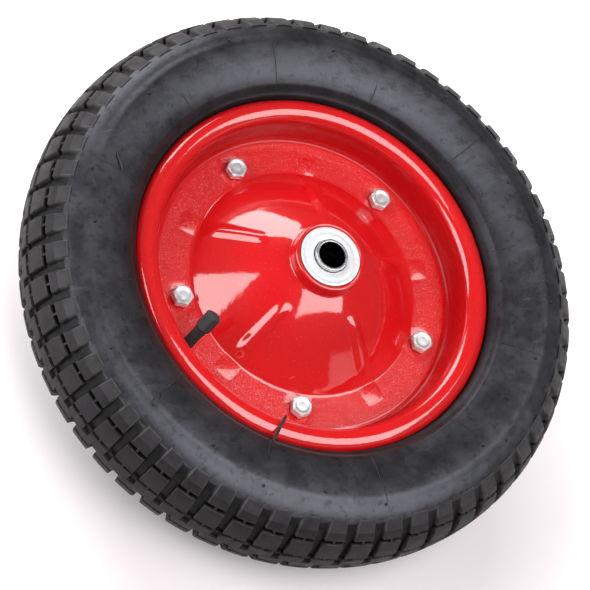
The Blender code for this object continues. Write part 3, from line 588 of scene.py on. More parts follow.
def paint_finish(colours):
    """Gloss enamel: deep base, clear coat with orange peel, nibs, fine scratches, dust, pale specks
    on the web as painted glints, and a wall under the flange darkened as painted shade.
    """
    base = tuple(colours.paint)
    f = Finish("red_enamel", base, 0.32)
    cloud = f.noise(0.035, 3)
    tone = f.mix(f.spread(cloud, 0.35, 0.70, 0, 0.5), base, dim(base, 0.80))
    dust = f.times(f.spread(f.noise(0.0011, 2), 0.62, 0.78), 0.35)
    tone = f.mix(dust, tone, (0.80, 0.16, 0.15))
    radius = f.radius()
    web = f.band(radius, 0.0735, 0.0760, 0.0930, 0.0955)
    dry_spray_and_shade = f.band(radius, 0.0950, 0.0968, 0.1006, 0.1018)
    # Painted glints: pale specks on the web stand in for light caught by the nibs in the coat.
    painted_glint = f.times(web, f.spread(f.noise(0.0009, 2, 0.6), 0.60, 0.72, 0, 0.55))
    tone = f.mix(painted_glint, tone, (0.95, 0.34, 0.32))
    # Painted shade: the base colour is darkened on the wall under the flange. The same mask gives
    # that wall its dry spray, a thinner and rougher coat.
    tone = f.mix(f.times(dry_spray_and_shade, 0.80), tone, dim(base, 0.60))
    scratch = f.noise(0.004, 4, 0.6, stretch=(0.2, 3.0, 1.0))
    scratch = f.times(f.spread(scratch, 0.69, 0.74), 0.35)
    f.set("Base Color", f.mix(scratch, tone, (0.85, 0.22, 0.20)))
    f.set("Roughness", f.spread(cloud, 0.3, 0.7, 0.26, 0.40))
    f.set("Specular IOR Level", 0.12)
    f.set("Coat Weight", f.spread(dry_spray_and_shade, 0, 1, 1.0, 0.25))
    f.set("Coat IOR", 1.85)
    haze = f.spread(f.noise(0.012, 4, 0.6), 0.45, 0.70, 0.03, 0.12)
    f.set("Coat Roughness", f.math("ADD", haze, f.times(dry_spray_and_shade, 0.20)))
    ripple = f.bump(f.noise(0.0024, 3, 0.6), 0.00003, 0.75)
    peel = f.bump(f.noise(0.0070, 2), 0.00022, 0.30, ripple)
    grit = f.spread(f.noise(0.0007, 2, 0.7), 0.50, 0.74)
    nibs = f.bump(f.times(grit, f.math("ADD", 0.05, web)), 0.00010, 0.50, peel)
    f.set("Normal", nibs)
    f.set("Coat Normal", nibs)
    return f.material


def tread_finish(colours):
    """Tread rubber: groove floors darkened as painted shade, block edges made pale as painted
    highlight, outer shoulder faces made lighter as painted light, dust and fine grain.
    """
    base, dust = tuple(colours.tread), tuple(colours.dust)
    f = Finish("tread_rubber", base, 0.60)
    cloud = f.spread(f.noise(0.014, 4, 0.6), 0.38, 0.68)
    # Painted light: the outer shoulder faces are made lighter than the rest of the tread.
    face = f.times(f.shade("outer"), f.spread(f.noise(0.009, 4), 0.30, 0.62))
    cloud = f.math("ADD", f.times(cloud, 0.40), f.times(face, 0.60))
    tone = f.mix(cloud, base, dim(base, 2.6))
    speck = f.spread(f.noise(0.0022, 5, 0.7), 0.58, 0.74)
    tone = f.mix(f.times(speck, 0.28), tone, dust)
    # Painted highlight: the blocks' rounded edges are made pale in the dust colour.
    edge = f.times(f.shade("edge_highlight"), f.spread(f.noise(0.005, 4), 0.30, 0.60, 0.10, 0.62))
    tone = f.mix(edge, tone, dust)
    # Painted shade: the groove and slot floors are darkened by how deep they lie.
    deep = f.spread(f.shade("deep"), 0.15, 0.80)
    f.set("Base Color", f.mix(deep, tone, dim(base, 0.45)))
    f.set("Roughness", f.spread(f.noise(0.007, 5, 0.6), 0.3, 0.75, 0.46, 0.68))
    f.set("Specular IOR Level", f.spread(f.shade("outer"), 0, 1, 0.20, 0.34))
    grain = f.bump(f.noise(0.0006, 4, 0.65), 0.00008, 0.45)
    f.set("Normal", f.bump(f.noise(0.006, 3), 0.0003, 0.35, grain))
    return f.material


def sidewall_finish(colours):
    """Sidewall rubber: a bluish bloom in patches over dark skin and wipe streaks, both partly painted
    sheen, pale scuffs, and painted shade in a darkened dust colour towards the rim."""
    base, dust = tuple(colours.sidewall), tuple(colours.dust)
    f = Finish("sidewall_rubber", base, 0.45)
    # Bluish patches and wipe streaks: partly the rubber's bloom, partly painted sheen.
    bloom_and_sheen = f.spread(f.noise(0.022, 6, 0.66), 0.38, 0.72)
    tone = f.mix(f.times(bloom_and_sheen, 0.36), base, tuple(colours.bloom_and_sheen))
    streak = f.noise(0.010, 5, 0.7, stretch=(0.35, 2.2, 1.0))
    streak_2 = f.noise(0.010, 5, 0.7, stretch=(2.0, 0.4, 1.0))
    wipes = f.math("MAXIMUM", f.spread(streak, 0.60, 0.72), f.spread(streak_2, 0.62, 0.74))
    tone = f.mix(f.times(wipes, 0.30), tone, tuple(colours.bloom_and_sheen))
    smudge = f.spread(f.noise(0.0060, 6, 0.72), 0.50, 0.68)
    tone = f.mix(f.times(smudge, 0.50), tone, dim(base, 0.40))
    scuff = f.spread(f.noise(0.0030, 6, 0.75), 0.62, 0.74)
    tone = f.mix(f.times(scuff, 0.40), tone, dust)
    radius = f.radius()
    # Painted shade: the sidewall is darkened in patches towards the rim, in a darkened dust colour.
    low = f.times(f.spread(radius, 0.128, 0.117), f.noise(0.007, 4, 0.6))
    f.set("Base Color", f.mix(f.times(low, 0.50), tone, dim(dust, 0.15)))
    gloss = f.math("ADD", f.noise(0.016, 6, 0.66), f.times(wipes, 0.15))
    f.set("Roughness", f.spread(gloss, 0.38, 0.66, 0.34, 0.46))
    sheen = f.spread(radius, 0.1165, 0.1290, 0.25, 1)
    sheen = f.times(f.spread(gloss, 0.34, 0.66, 0.54, 0.88), sheen)
    f.set("Specular IOR Level", f.times(sheen, f.spread(smudge, 0, 1, 1.0, 0.62)))
    f.set("Specular Tint", (0.84, 0.87, 1.0, 1))
    fine = f.bump(f.noise(0.0008, 4, 0.65), 0.00008, 0.45)
    f.set("Normal", f.bump(f.noise(0.009, 5, 0.62), 0.00060, 0.45, fine))
    return f.material


def moulded_finish(name, base, tint):
    """Small rubber parts and flash: dull, with a dusty tint in blotches and a fine grain."""
    f = Finish(name, base, 0.52)
    f.set("Base Color", f.mix(f.spread(f.noise(0.003, 4, 0.6), 0.40, 0.68), base, tint))
    f.set("Roughness", f.spread(f.noise(0.002, 3), 0.3, 0.7, 0.44, 0.62))
    f.set("Normal", f.bump(f.noise(0.0005, 3), 0.00006, 0.4))
    return f.material


def zinc_finish(name, base, metallic, low, high):
    """Bright zinc plating: mottled tone, soft grain, faint yellow-blue drift."""
    f = Finish(name, base, low, metallic)
    patch = f.spread(f.noise(0.0030, 3, 0.5), 0.40, 0.75)
    tone = f.mix(f.times(patch, 0.5), base, dim(base, 0.82))
    tint = f.spread(f.noise(0.006, 2), 0.50, 0.75)
    f.set("Base Color", f.mix(f.times(tint, 0.20), tone, (0.78, 0.76, 0.66)))
    f.set("Roughness", f.spread(f.noise(0.0022, 3), 0.3, 0.7, low, high))
    f.set("Normal", f.bump(f.noise(0.0012, 2), 0.00003, 0.10))
    return f.material


def steel_finish(name, base, roughness):
    """Ground or turned metal: fine rings round the axle line, a slight stain, and the bore painted
    near-black as painted shade.
    """
    f = Finish(name, base, roughness, 0.85)
    stain = f.spread(f.noise(0.004, 4), 0.40, 0.72)
    tone = f.mix(f.times(stain, 0.5), base, dim(base, 0.55))
    # Painted shade: points near the axle line, inside the bore, are made near-black.
    bore = f.spread(f.radius(), 0.0088, 0.0084)
    f.set("Base Color", f.mix(bore, tone, (0.006, 0.006, 0.006)))
    rings = f.node("ShaderNodeTexWave", wave_type="RINGS", rings_direction="Z")
    f.feed(rings.inputs["Vector"], f.place)
    f.feed(rings.inputs["Scale"], 900)
    f.feed(rings.inputs["Distortion"], 1.5)
    f.set("Roughness", f.spread(f.noise(0.002, 3), 0.3, 0.7, roughness - 0.06, roughness + 0.10))
    f.set("Normal", f.bump(rings.outputs["Fac"], 0.00003, 0.30))
    return f.material


def plastic_finish(name, base, roughness):
    """Moulded plastic: faint mottling, scuffs and a fine spark-eroded grain."""
    f = Finish(name, base, roughness)
    scuff = f.spread(f.noise(0.0020, 5, 0.7), 0.55, 0.80)
    f.set("Base Color", f.mix(f.times(scuff, 0.5), base, dim(base, 2.4)))
    f.set("Roughness", f.spread(f.noise(0.0012, 3), 0.3, 0.7, roughness - 0.08, roughness + 0.12))
    f.set("Normal", f.bump(f.noise(0.0004, 3), 0.00006, 0.5))
    return f.material


def finishes(context):
    """All materials by name, made once."""
    colours = context.scene.wheel_finishes
    if "red_enamel" not in bpy.data.materials:
        dust = tuple(colours.dust)
        paint_finish(colours)
        tread_finish(colours)
        sidewall_finish(colours)
        moulded_finish("stem_rubber", (0.017, 0.017, 0.018), (0.035, 0.034, 0.034))
        moulded_finish("flash_rubber", (0.007, 0.006, 0.006), dim(dust, 0.22))
        moulded_finish("nub_rubber", (0.006, 0.006, 0.006), (0.018, 0.017, 0.016))
        zinc_finish("zinc_plating", tuple(colours.zinc), 0.35, 0.34, 0.50)
        zinc_finish("bolt_plating", dim(colours.zinc, 0.92), 0.70, 0.30, 0.42)
        steel_finish("ground_steel", tuple(colours.steel), 0.26)
        steel_finish("greased_steel", (0.009, 0.008, 0.008), 0.45)
        steel_finish("turned_brass", (0.72, 0.50, 0.20), 0.30)
        plastic_finish("cap_plastic", tuple(colours.cap), 0.46)
        plastic_finish("cage_nylon", (0.50, 0.45, 0.33), 0.45)
    return bpy.data.materials


# Tyre


def crown_line(tyre, tread):
    """Crown radius at a distance from the middle plane: a superellipse
    r = widest + (tread - widest) (1 - (z / half)^p)^(1/p), with the flat faces of the blocks
    drawn as straight lines between its values at the edges of the rows."""
    middle = (tread.mid_start + tread.mid_end) / 2
    inner = (0, tread.rib_edge, tread.mid_start, middle, tread.mid_end)
    knots = np.array((*inner, tread.shoulder_start, tread.shoulder_crease, tread.shoulder_end))
    share = 1 - (knots / tyre.section_half) ** tyre.crown_power
    reach = tyre.tread_radius - tyre.widest_radius
    heights = tyre.widest_radius + reach * share ** (1 / tyre.crown_power)
    return lambda z: np.interp(np.abs(z), knots, heights)


def tread_rows(tread):
    """Rows of half the tread as (distance from the middle, slot share, groove share, drop).

    The slot share is 1 on a slot's floor and the groove share is 1 where cross grooves run.
    The drop rounds the blocks' edges."""
    lip, wall = 0.00022, 0.00026
    notch = tread.notch_share
    rows = [(0.0002, 0, 0, 0), (tread.notch_end, 0, 0, 0), (tread.notch_end + wall, 0, notch, 0)]

    def block(start, end, steps, first_lip=True, groove=1):
        """Rows across a block's face, with its edges rounded down."""
        if first_lip:
            rows.append((start, 0, groove, SOFT_EDGE))
        rows.extend((z, 0, groove, 0) for z in np.linspace(start + lip, end - lip, steps))
        rows.append((end, 0, groove, SOFT_EDGE))

    def slot(start, end):
        """Three rows on a slot's floor."""
        rows.extend((z, 1, 1, 0) for z in (start + wall, (start + end) / 2, end - wall))

    block(tread.notch_end + 2 * wall, tread.rib_edge, 3, first_lip=False, groove=notch)
    slot(tread.rib_edge, tread.mid_start)
    block(tread.mid_start, tread.mid_end, 5)
    slot(tread.mid_end, tread.shoulder_start)
    crease, end = tread.shoulder_crease, tread.shoulder_end
    rows.append((tread.shoulder_start, 0, 1, SOFT_EDGE))
    rows.append((tread.shoulder_start + lip, 0, 1, 0))
    rows.append((crease - lip, 0, 1, 0))
    rows.extend((z, 0, 1, 0) for z in np.linspace(crease + lip, end - 0.0006, 4))
    rows.append((end, 0, 1, 0.00028))
    return np.array(rows)


def tread_columns(tread, groove, wall):
    """Columns of one pitch as (angle, groove share, tie share, drop), from a groove's middle."""
    pitch = 2 * math.pi / tread.pitches
    mouth = groove / 2
    tie = pitch / 2 - tread.tie / 2
    lip = math.radians(0.07)
    half = np.array(
        [
            (0, 1, 1, 0),
            (mouth - wall, 1, 1, 0),
            (mouth - 0.65 * wall, 0.80, 1, 0),
            (mouth, 0, 1, SOFT_EDGE),
            (mouth + lip, 0, 1, 0),
            (mouth + 0.35 * (tie - mouth), 0, 1, 0),
            (mouth + 0.75 * (tie - mouth), 0, 1, 0),
            (tie - 1.2 * lip, 0, 1, 0),
            (tie, 0, tread.tie_depth, 0),
        ]
    )
    mirror = half[:0:-1] * (-1, 1, 1, 1) + (pitch, 0, 0, 0)
    return np.vstack([half, mirror])


def tread_surface(tyre, tread):
    """The tread shell as one closed grid: front rows, rear rows, then its hidden underside.

    Each point lies on the crown line, sunk along the crown's normal by the larger of the
    groove's and the slot's depth there. The grooves flare towards the shoulder's outer edge,
    and the rear half is staggered by half a pitch."""
    crown = crown_line(tyre, tread)
    rows, columns = tread_rows(tread), tread_columns(tread, tread.groove, tread.wall)
    flare = tread_columns(tread, tread.groove_end, tread.wall_end)[:, 0] - columns[:, 0]
    pitch = 2 * math.pi / tread.pitches
    half_count = len(columns) // 2 + 1
    turns = tread.phase + np.arange(tread.pitches)[:, None] * pitch
    front = (turns + columns[:, 0]).ravel()
    rear_columns = np.vstack([columns[half_count:] - (pitch, 0, 0, 0), columns[:half_count]])
    rear = (turns + rear_columns[:, 0] + pitch / 2).ravel()
    order = np.tile(np.arange(len(columns)), tread.pitches)
    rear_order = np.tile(np.roll(np.arange(len(columns)), -half_count), tread.pitches)

    def flared(z, angles, which):
        """Angles moved by the flare, times the 1.6th power of the way to the outer edge."""
        share = np.clip((z - tread.mid_start) / (tread.shoulder_end - tread.mid_start), 0, 1)
        return angles + share[:, None] ** 1.6 * flare[which]

    def half(side, angles, which):
        """Points of one side's rows, with the rounded edges that get a painted highlight, the outer
        shoulder faces that are painted lighter, and how deep each point is sunk.
        """
        z = rows[:, 0]
        angles = flared(z, angles, which)
        step = 1e-5
        slope = (crown(z + step) - crown(z - step)) / (2 * step)
        tilt = 1 / np.sqrt(1 + slope**2)
        shoulder = (tread.shoulder_start, tread.shoulder_end)
        fade = np.interp(z, shoulder, (tread.depth, tread.end_depth))
        groove = rows[:, 2:3] * fade[:, None] * columns[which, 1]
        slot = rows[:, 1:2] * tread.slot_depth * columns[which, 2]
        drop = np.maximum(rows[:, 3:4], columns[which, 3] * (rows[:, 2:3] > 0))
        sink = np.maximum(np.maximum(groove, slot), drop)
        r = crown(z)[:, None] - sink * tilt[:, None]
        height = z[:, None] + sink * (slope * tilt)[:, None]
        face = sink < 0.0004
        edge_highlight, outer = (drop > 0) & face, (z > tread.shoulder_crease)[:, None] & face
        return polar(r, angles, side * height), edge_highlight, outer, sink / tread.depth

    foot = (float(crown(tread.shoulder_end)) + 0.0004, tread.shoulder_end - 0.0018)
    hidden = np.array(
        [foot] + [(float(crown(z)) - tread.depth - 0.0017, z) for z in (0.030, 0.022, 0.010)]
    )

    def lining(side, angles, which):
        """Points of one side's hidden underside."""
        turned = flared(hidden[:, 1], angles, which)
        return polar(hidden[:, :1], turned, side * hidden[:, 1:])

    under, under_rear = lining(1, front, order), lining(-1, rear, rear_order)[::-1]
    top, edge_highlight, outer, deep = half(1, front, order)
    top_rear, edge_highlight_rear, outer_rear, deep_rear = half(-1, rear, rear_order)
    hidden_rows = np.zeros((2 * len(under), len(front)))
    shades = {
        "edge_highlight": np.concatenate([edge_highlight_rear[::-1], edge_highlight, hidden_rows]),
        "outer": np.concatenate([outer_rear[::-1], outer, hidden_rows]),
        "deep": np.concatenate([deep_rear[::-1], deep, hidden_rows + 1]),
    }
    return np.concatenate([top_rear[::-1], top, under, under_rear]), shades


def lower_side(tyre, rim, share):
    """Outer sidewall below the widest place: with s from the flange (0) to there (1),
    z = z0 + (half - z0) (1 - (1 - s)^p)^(1/p)."""
    radius = rim.flange_radius + 3 * rim.sheet
    height = rim.crest + 2 * rim.sheet
    bulge = (1 - (1 - share) ** tyre.lower_power) ** (1 / tyre.lower_power)
    r = radius + share * (tyre.widest_radius - radius)
    return np.stack([r, height + bulge * (tyre.section_half - height)], axis=-1)


def upper_side(tyre, radii):
    """Outer sidewall above the widest place: the crown's superellipse
    z = half (1 - ((r - widest) / (tread - widest))^p)^(1/p), less the ledge of the tread."""
    over = radii - tyre.widest_radius
    share = 1 - (over / (tyre.tread_radius - tyre.widest_radius)) ** tyre.crown_power
    z = tyre.section_half * share ** (1 / tyre.crown_power) - tyre.ledge * ease(over / 0.006)
    return np.stack([radii, z], axis=-1)


def casing_profile(tyre, tread, rim):
    """Half of the casing's closed section, from under the tread round the bead to inside."""
    crown = crown_line(tyre, tread)
    deep = tread.depth + 0.0023
    under = [(float(crown(z)) - deep, z) for z in (0.0004, 0.008, 0.016, 0.023, 0.028)]
    widest = tyre.widest_radius
    upper = upper_side(tyre, np.linspace(widest + 0.0142, widest + 0.0003, 14))
    lower = lower_side(tyre, rim, np.linspace(0.97, 0.0, 26))
    ring = np.exp(-(((lower[:, 0] - tyre.guard_radius - 0.0035) / 0.0007) ** 2))
    lower[:, 1] += 0.0003 * ring
    bead = [(rim.flange_radius + past, z) for past, z in BEAD_KEYS]
    return np.vstack([under, upper, lower, bead, TYRE_INSIDE])


def build_tyre(context):
    """Makes the tread shell and the casing under it."""
    scene = context.scene
    tyre, tread, rim = scene.wheel_tyre, scene.wheel_tread, scene.wheel_rim
    materials = finishes(context)
    points, shades = tread_surface(tyre, tread)
    make_piece(
        "tyre_tread", points, grid_quads(*points.shape[:2]), materials["tread_rubber"],
        nodes=("tyre",), slot="tyre_rubber", sharp=24, shades=shades,
    )
    half = casing_profile(tyre, tread, rim)
    loop = np.vstack([half, half[::-1] * (1, -1)])
    turn_profile(
        "tyre_casing", loop, materials["sidewall_rubber"], steps=464,
        nodes=("tyre",), slot="tyre_rubber", sharp=35,
    )


def sidewall_height(tyre, rim):
    """Height of the outer sidewall at a radius, as a function."""
    lower = lower_side(tyre, rim, np.linspace(0, 1, 60))
    upper = upper_side(tyre, np.linspace(tyre.widest_radius, tyre.widest_radius + 0.014, 30))
    line = np.vstack([lower, upper[1:]])
    return lambda radius: np.interp(radius, line[:, 0], line[:, 1])


def strip_along(path, widths, heights, up, sides=8):
    """A bead of half-elliptic section along a path: each ring is
    path + w cos t across + h sin t up, with w and h tapering to nothing at both ends."""
    along = np.gradient(path, axis=0)
    along /= np.linalg.norm(along, axis=1)[:, None]
    across = np.cross(along, up)
    across /= np.linalg.norm(across, axis=1)[:, None]
    upward = np.cross(across, along)
    t = round_angles(sides)
    ring = path[:, None] + (widths[:, None] * np.cos(t))[..., None] * across[:, None]
    return ring + (heights[:, None] * np.sin(t))[..., None] * upward[:, None]


def flash_line(k, side, height):
    """One of twelve flash lines, long and short by turns: it runs out along the radius, bends
    by a small sine and tapers at both ends."""
    steps = 24
    r = np.linspace(0.1195, 0.1330 if k % 2 else 0.1520, steps)
    bend = math.radians(28.3 + 30 * k) + 0.0012 * np.sin(9 * np.arange(steps) / steps)
    path = polar(r, bend, side * (height(r) + 0.00002))
    taper = np.sin(math.pi * np.linspace(0.04, 0.96, steps)) ** 0.35
    return strip_along(path, 0.00042 * taper, 0.00030 * taper, (0, 0, side))


def vent_nub(degrees, radius, side, height):
    """One vent nub: a blunt stub that leans outwards, of radius R sqrt(1 - s²)."""
    at = math.radians(degrees)
    rise = np.linspace(-0.0006, 0.0013, 7)[:, None]
    path = polar(radius, at, side * height(radius)) + rise * polar(0.25, at, side)
    size = 0.00105 * np.sqrt(np.clip(1 - np.linspace(-0.6, 0.97, 7) ** 2, 0.02, 1))
    return strip_along(path, size, size, (-math.sin(at), math.cos(at), 0.01))


def whisker(first, last, width, thick, sag, height):
    """One loose whisker between two places (degrees, radius, height over the rubber), straight
    but for a rise of sag sin(pi s)."""
    ends = [(math.radians(degrees), r, height(r) + lift) for degrees, r, lift in (first, last)]
    share = np.linspace(0, 1, 18)
    at, r, z = (a + (b - a) * share for a, b in zip(*ends))
    path = polar(r, at, z + sag * np.sin(math.pi * share))
    taper = np.clip(np.sin(math.pi * np.linspace(0.03, 0.97, 18)) * 3, 0.25, 1)
    return strip_along(path, width * taper, thick * taper, (0, 0, 1))


def build_mould_marks(context):
    """Flash lines, vent nubs and rubber whiskers that the mould leaves on the sidewalls."""
    materials = finishes(context)
    height = sidewall_height(context.scene.wheel_tyre, context.scene.wheel_rim)
    flash, rubber = materials["flash_rubber"], materials["nub_rubber"]
    for side, tag in SIDES:
        lines = [flash_line(k, side, height) for k in range(12)]
        join_tubes(f"flash_lines_{tag}", lines, flash, slot="tyre_rubber")
        nubs = [vent_nub(*place, side, height) for place in NUBS]
        join_tubes(f"vent_nubs_{tag}", nubs, rubber, slot="tyre_rubber")
    loose = [whisker(*one, height) for one in WHISKERS]
    join_tubes("rubber_whiskers", loose, rubber, slot="tyre_rubber")


# Rim


def dome_line(rim, radii):
    """Front face of the dome: the straight cone between its two ends plus a swelling t - t²,
    leaning towards the collar, where t runs from 0 at the collar to 1 at the fold."""
    top, web = rim.dome_top_height, rim.web_back + rim.sheet
    reach = rim.dome_fold - rim.dome_top
    t = (radii - rim.dome_top) / reach
    swelling = (t - t**2) * (1 + rim.dome_lean * (1 - 2 * t))
    return top + (web - top) * t + rim.dome_bulge * reach * swelling


def rim_front_line(rim):
    """Front face of one half, from the collar's root to the flange's edge."""
    web = rim.web_back + rim.sheet
    collar = rim.collar_inner + 2 * rim.sheet
    wall, fillet = collar + 0.00005, 0.0013
    radii = np.linspace(collar + 0.8 * fillet, rim.dome_fold - rim.fold_round, 40)
    dome = np.stack([radii, dome_line(rim, radii)], axis=1)
    start = np.array((wall, dome[0, 1] + 1.25 * fillet))
    root = bow(start, np.array((wall, dome_line(rim, collar))), dome[0], 6)[:-1]
    end = np.array((rim.dome_fold + rim.fold_round, web))
    fold = bow(dome[-1], np.array((rim.dome_fold, web)), end, 5)[1:]
    radii = np.linspace(rim.dome_fold + 0.002, rim.web_outer - 0.0012, 30)
    radii = np.append(radii, rim.web_outer - 0.0004)
    flat = np.stack([radii, np.full_like(radii, web)], axis=1)
    keys = [(rim.web_outer + out, web - down * rim.step + up) for out, down, up in STEP_KEYS]
    keys += [*SEAT_KEYS, (rim.flange_radius, 0.0217)]
    return np.vstack([root, dome, fold, flat, smooth_line(keys, 4)])


def rib_relief(rim, circle, radii, angles):
    """Height of the stamping at each radius and angle: round-backed ribs that widen outwards
    along the dome, square pads with a domed top on the web, and a dimple round each bolt
    where the nut has drawn the sheet in."""
    turn = (angles + SECTOR / 2) % SECTOR
    off = np.minimum(turn, SECTOR - turn)
    r = radii[:, None]
    across = r * np.sin(off)
    share = np.clip((r - rim.rib_start) / (rim.dome_fold - rim.rib_start), 0, 1)
    half = rim.rib_half + share * 0.0016
    rib = ease(1 - across / (1.50 * half)) * ease((r - rim.rib_start) / 0.0080)
    rib *= ease((rim.dome_fold - 0.0004 - r) / 0.0110)
    middle = (rim.pad_end + rim.dome_fold) / 2
    reach = (rim.pad_end - rim.dome_fold) / 2
    wide = np.clip(1 - (across / rim.pad_half) ** 2, 0, 1)
    pad = rim.pad_crown * wide**0.8 * np.clip(1 - ((r - middle) / reach) ** 2, 0, 1) ** 0.8
    near = turn - SECTOR / 2
    span = np.hypot(r * np.cos(near) - circle, r * np.sin(near))
    dimple = rim.dimple * (1 - ease((span - 0.0050) / 0.0068)) * ease((r - rim.dome_fold) / 0.0015)
    dimple *= ease((rim.web_outer + 0.0005 - r) / 0.0015)
    return np.maximum(rim.rib_height * rib, pad) - dimple


def rim_angles():
    """Angles of the rim's columns: fine beside the ribs, wider between them."""
    fine = np.radians(np.arange(-10, 10.01, 0.50))
    wide = np.linspace(math.radians(10), SECTOR - math.radians(10), 38)[1:-1]
    one = np.concatenate([fine, wide]) + SECTOR / 2
    return np.concatenate([one + k * SECTOR for k in range(len(BOLTS))])


def rim_surface(rim, circle, side):
    """One half as a closed grid: the front face carried out, the back face carried in at
    the sheet's thickness, then the cup and the folded collar."""
    angles = rim_angles()
    front = rim_front_line(rim)
    normal = line_normals(front)
    relief = rib_relief(rim, circle, front[:, 0], angles)
    back = front - normal * rim.sheet
    back[:, 1] = np.maximum(back[:, 1], rim.web_back * (front[:, 0] > rim.dome_fold - 0.002))
    edge = (front[-1] + back[-1]) / 2 + (0.00045, -0.0001)
    sheet, bore, hole = rim.sheet, rim.collar_inner, rim.shoulder_radius
    top, bottom, wall = rim.collar_top, rim.shoulder_height, rim.collar_inner + rim.sheet
    cup = np.array(
        [
            (wall, dome_line(rim, wall) - 1.25 * sheet),
            (wall, bottom - sheet + 0.0004),
            (wall - 0.0005, bottom - sheet),
            (hole, bottom - sheet),
            (hole, bottom),
            (bore - 0.0007, bottom),
            (bore, bottom + 0.0007),
            (bore, top - sheet - 0.0010),
        ]
    )
    arc = np.linspace(0, math.pi, 13)
    lip = np.stack([wall - np.cos(arc) * sheet, top - sheet + np.sin(arc) * sheet], axis=1)

    def carry(line, normals=np.zeros((1, 2)), heights=0):
        """A line carried round, moved along its normals by the heights."""
        r, z = line[:, :1] + normals[:, :1] * heights, line[:, 1:] + normals[:, 1:] * heights
        return polar(r, angles, z)

    inner = front[:, 0] > bore + 2 * sheet + 0.0022
    behind = carry(*(part[inner][::-2] for part in (back, normal, relief)))
    parts = [carry(front, normal, relief), carry(edge[None]), behind, carry(cup), carry(lip)]
    return np.concatenate(parts) * (1, 1, side)


def build_rim(context):
    """Makes both rim halves and cuts the valve's hole in the front one."""
    scene = context.scene
    valve = scene.wheel_valve
    paint = finishes(context)["red_enamel"]
    for side, tag in SIDES:
        points = rim_surface(scene.wheel_rim, scene.wheel_fasteners.circle, side)
        piece = make_piece(
            f"rim_{tag}", points, grid_quads(*points.shape[:2]), paint,
            nodes=(f"rim_half_{tag}",), slot="red_paint", sharp=50,
        )
        if side > 0:
            cut_hole(piece, valve_place(valve), valve.stem_root + 0.00055, 0.0075)


def cut_hole(piece, place, radius, reach):
    """Cuts a round hole with an exact Boolean and keeps only its result."""
    rings = put(revolve([(radius, -reach), (radius, reach)], round_angles(40)), place)
    cutter = make_piece("hole_cutter", *capped(rings), piece.data.materials[0])
    modifier = piece.modifiers.new("valve_hole", "BOOLEAN")
    modifier.operation = "DIFFERENCE"
    modifier.solver = "EXACT"
    modifier.object = cutter
    graph = bpy.context.evaluated_depsgraph_get()
    cut = bpy.data.meshes.new_from_object(piece.evaluated_get(graph))
    piece.modifiers.clear()
    piece.data = cut
    cut.shade_smooth()
    cut.set_sharp_from_angle(angle=math.radians(50))
    bpy.data.objects.remove(cutter, do_unlink=True)


# Fasteners


def hex_radius(angles, across, round_off=0.00025):
    """Radius of a hexagon's outline, its corners softened by a limit on the radius."""
    turned = (angles + math.pi / 6) % (math.pi / 3) - math.pi / 6
    return np.minimum(across / 2 / np.cos(turned), across / math.sqrt(3) - round_off)


def hex_surface(across, height, rings_in, angles, hollow=None):
    """A hexagonal head: flat sides whose tops are cut by a 30 degree cone.

    The side's upper edge follows z = h - (r - c) tan 30 at each angle, c being the radius at
    which the cone meets the face. rings_in are (radius, height) steps on the face."""
    soft, bevel = 0.00018, 0.0004
    side = hex_radius(angles, across)
    face = across / 2 - bevel
    top = height - np.maximum(side - face, 0) * math.tan(math.radians(30))
    rows = [(side * 0.985, 0), (side, soft), (side, top - soft), (side - 0.0001, top)]
    rows += [(face, height), *rings_in]
    if hollow:
        rows += [(hollow, height - bevel), (hollow, bevel), (hollow + bevel, 0)]
    return stack_rings(rows, angles)


def thread_rings(radius, low, high, pitch, angles, depth=0.00062):
    """Threaded shank: r = R - depth (1 - |2 f - 1|) with f the fraction of (z / pitch - a / 2 pi)."""
    z = np.arange(low, high, pitch / 6)[:, None]
    phase = (z / pitch - angles / (2 * math.pi)) % 1
    ends = np.minimum(1, (z - low) / pitch + 0.15)
    r = radius - depth * np.abs(2 * phase - 1) * ends - 0.0007 * (1 - ends)
    return polar(r, angles, z)


def build_fasteners(context):
    """Makes the bolts with threaded tails, the nuts and the spring washers."""
    sizes, rim = context.scene.wheel_fasteners, context.scene.wheel_rim
    zinc = finishes(context)["bolt_plating"]
    angles = round_angles(72)
    web = rim.web_back + rim.sheet + sizes.gap
    nut_top = -(web + sizes.washer_thick + sizes.gap)
    tail = nut_top - sizes.nut - 0.0016
    dish = [(r, sizes.head + z) for r, z in HEAD_DISH]
    head = hex_surface(sizes.across, sizes.head, dish, angles)
    shank = thread_rings(sizes.shank, tail - web, -0.0001, sizes.thread, angles)
    lead = [(sizes.shank + 0.0009, sizes.nut)]
    nut = hex_surface(sizes.across, sizes.nut, lead, angles, sizes.shank + 0.0003)
    shapes = (
        ("hex_bolt", "bolt", capped(np.concatenate([shank, head]))),
        ("hex_nut", "nut", (nut, grid_quads(*nut.shape[:2]))),
        ("split_washer", "spring_washer", spring_washer(sizes)),
    )
    turn, lift = Matrix.Rotation, Matrix.Translation
    for k, degrees in enumerate(BOLT_TURNS):
        seats = (
            lift((0, 0, web)) @ turn(math.radians(degrees), 4, "Z"),
            lift((0, 0, nut_top)) @ turn(math.pi, 4, "X") @ turn(0.5 + 1.3 * k, 4, "Z"),
            lift((0, 0, -web)),
        )
        place = turn(k * SECTOR, 4, "Z") @ lift((sizes.circle, 0, 0))
        for (name, node, (points, quads)), seat in zip(shapes, seats):
            make_piece(
                f"{name}_{k + 1}", put(points, place @ seat), quads, zinc,
                nodes=(f"{node}_{k + 1}",), slot="zinc_plate", sharp=28,
            )


